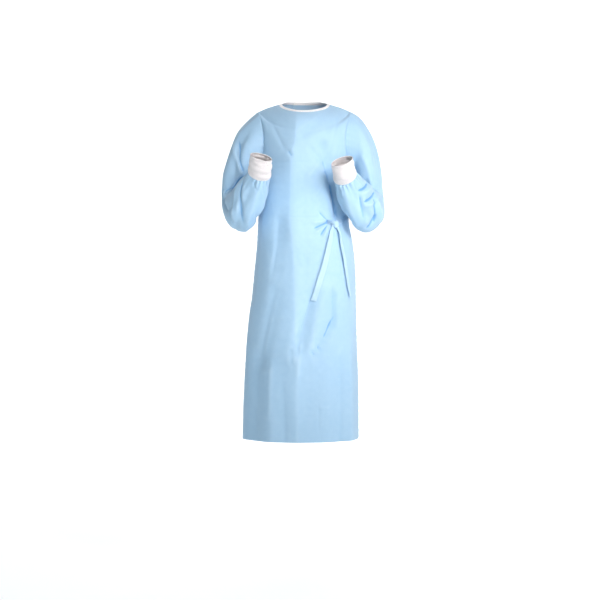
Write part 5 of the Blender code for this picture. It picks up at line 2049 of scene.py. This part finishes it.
@dataclass
class Gown:
    """The whole gown, put together from its pieces.

    Attributes:
        finishes: The materials.
        body: The plain form of the body.
        cloth: The thickness of the gown's cloth.
    """

    finishes: Finishes
    body: Body = field(default_factory=Body)
    lap: OuterBack = field(default_factory=OuterBack)
    ties: Ties = field(default_factory=Ties)
    stitching: Stitching = field(default_factory=Stitching)
    fine_stitching: Stitching = Stitching(0.0019, 0.0026, 0.00026, 0.00022)
    cloth: float = 0.0007
    topstitch: float = 0.0055
    hem_fold: float = 0.012

    def build(self) -> None:
        """Builds every piece, panels first, because the others are placed on them."""
        self.front = FRONT.surface(self.body)
        back = BACK.surface(self.body)
        self.inner = back.part(back.columns >= self.lap.inner_edge - TABLE_EDGE)
        over = back.part(back.columns <= self.lap.outer_edge + TABLE_EDGE)
        self.back = back
        offset = self.lap.offset(over.columns)[None, :] + 0 * over.rows[:, None]
        self.outer = over.raised(offset)
        self.build_panels()
        self.build_sleeves()
        self.build_binding()
        self.build_ties()
        self.build_tab()
        self.build_seams()

    def dress(self, piece: bpy.types.Object, node: str, slot: str) -> None:
        """Says which node a piece stands for and which slot its finish is."""
        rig.replaces(piece, node)
        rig.slot(piece, slot)

    def build_panels(self) -> None:
        """The front and the two back panels."""
        panels = (
            ("front_panel", self.front),
            ("back_panel_inner", self.inner),
            ("back_panel_outer", self.outer),
        )
        for node, surface in panels:
            piece = cloth_object(node + "_cloth", [surface], self.finishes.cloth, self.cloth)
            self.dress(piece, node, "gown_cloth")
            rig.sheet(piece, held="hung", rests_on=["neck_binding_tape"], **surface.cut())

    def build_sleeves(self) -> None:
        """Both sleeves and their cuffs."""
        self.sleeves = []
        for sleeve in (LEFT_SLEEVE, RIGHT_SLEEVE):
            name = sleeve.side.name.lower()
            surface = sleeve.surface(self.body)
            self.sleeves.append(surface)
            piece = cloth_object(f"sleeve_{name}_cloth", [surface], self.finishes.cloth, self.cloth)
            self.dress(piece, "sleeve_" + name, "gown_cloth")
            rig.sheet(piece, held="hung", rests_on=["front_panel_cloth"], **surface.cut())
            cuff = Cuff(sleeve.side, seed=61 + sleeve.side.value)
            ribbed = cuff.surface(sleeve.rings(self.body)[-1])
            knit = cloth_object(f"cuff_{name}_knit", [ribbed], self.finishes.knit, cuff.thickness)
            self.dress(knit, "cuff_" + name, "cuff_knit")
            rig.sheet(knit, held="stretched", rests_on=[piece.name], **ribbed.cut())

    def build_seams(self) -> None:
        """The topstitching: body seams, armholes, the back's free edges, and sleeve ends."""
        rows = [
            self.front.beside(0, self.topstitch),
            self.front.beside(-1, self.topstitch),
            self.inner.beside(0, self.hem_fold),
            self.outer.beside(-1, self.hem_fold),
        ]
        for surface in self.sleeves:
            last = surface.rows[-1] - 0.1
            angle = surface.columns[:-1]
            rows.append(surface.at(angle, last + 0 * angle))
        self.stitching.build("body_seam_stitches", rows, self.finishes.blue_thread)

    def build_binding(self) -> None:
        """The neck binding and its row of stitches."""
        line, normal = neckline(self.front, self.inner, self.outer)
        binding = Binding()
        surface, rise = binding.tube(line, normal)
        piece = cloth_object("neck_binding_tape", [surface], self.finishes.tape, 0.0004)
        self.dress(piece, "neck_binding", "neck_binding")
        low = -binding.overlap + 0.0014
        row = line + rise * low + normal * (binding.half_thickness - 0.0002)
        rows = [(row, normal)]
        self.fine_stitching.build("neck_binding_stitches", rows, self.finishes.white_thread)
        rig.sheet(piece, held="folded", rests_on=["front_panel_cloth"], **surface.cut())

    def build_ties(self) -> None:
        """The ties, their free ends and the knot."""
        ties, front, body = self.ties, self.front, self.body
        strips = (
            ("tie_short", ties.on_front(body, front, ties.short, 14, 72)),
            ("tie_end_short", ties.on_front(body, front, ties.short_end, 110, 73)),
            ("tie_end_long", ties.on_front(body, front, ties.long_end, 100, 74)),
            ("tie_long", ties.round_side(body, front, self.back)),
        )
        for node, surface in strips:
            piece = cloth_object(node + "_strip", [surface], self.finishes.ties, ties.thickness)
            self.dress(piece, node, "tie_cloth")
            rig.sheet(piece, held="hung", rests_on=["front_panel_cloth"], **surface.cut())
        knot = cloth_object(
            "tie_knot_wraps", ties.knot_surfaces(body, front), self.finishes.ties, ties.thickness
        )
        self.dress(knot, "tie_knot", "tie_cloth")
        short, long = strips[0][1], strips[-1][1]
        roots = [(each.points[row], each.normals[row]) for each, row in ((short, 1), (long, -3))]
        self.fine_stitching.build("tie_root_stitches", roots, self.finishes.blue_thread)

    def build_tab(self) -> None:
        """The hook-and-loop tab at the back of the neck."""
        across, place = np.meshgrid(np.linspace(0.16, 0.47, 30), np.linspace(2.42, 2.86, 20))
        points, normals = self.back.at(across, place)
        lift = self.lap.layer_rise + 0.0007 + 0.0012
        points = points + normals * lift
        u, v = np.meshgrid(np.linspace(0, 0.055, 30), np.linspace(0, 0.031, 20))
        surface = Surface(points, normals, np.stack([u, v], -1), place[:, 0], across[0])
        piece = cloth_object("neck_tab_tape", [surface], self.finishes.hooks, 0.0011)
        self.dress(piece, "neck_tab", "neck_binding")
        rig.sheet(piece, held="laid", rests_on=["back_panel_outer_cloth"], **surface.cut())
        turns = np.array([0.0, 1.0, 2.0, 3.0, 4.0])
        round_it = np.linspace(0, 4, 161)
        rim = np.interp(round_it, turns, [0.06, 0.94, 0.94, 0.06, 0.06])
        side = np.interp(round_it, turns, [0.06, 0.06, 0.94, 0.94, 0.06])
        low, high = (across[0, 0], place[0, 0]), (across[-1, -1], place[-1, -1])
        path = surface.at(low[0] + (high[0] - low[0]) * rim, low[1] + (high[1] - low[1]) * side)
        self.fine_stitching.build("neck_tab_stitches", [path], self.finishes.white_thread)


def main() -> None:
    """Builds the studio and the gown, and writes the boxes of the model and of the scene."""
    logging.basicConfig(level=logging.INFO, format="%(name)s: %(message)s")
    Studio().build()
    Gown(Finishes()).build()
    sizes = {"cad": CAD_BOX, "visual": [list(corner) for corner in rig.bounds()]}
    with open("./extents.json", "w", encoding="utf-8") as report:
        json.dump(sizes, report)


if __name__ == "__main__":
    main()
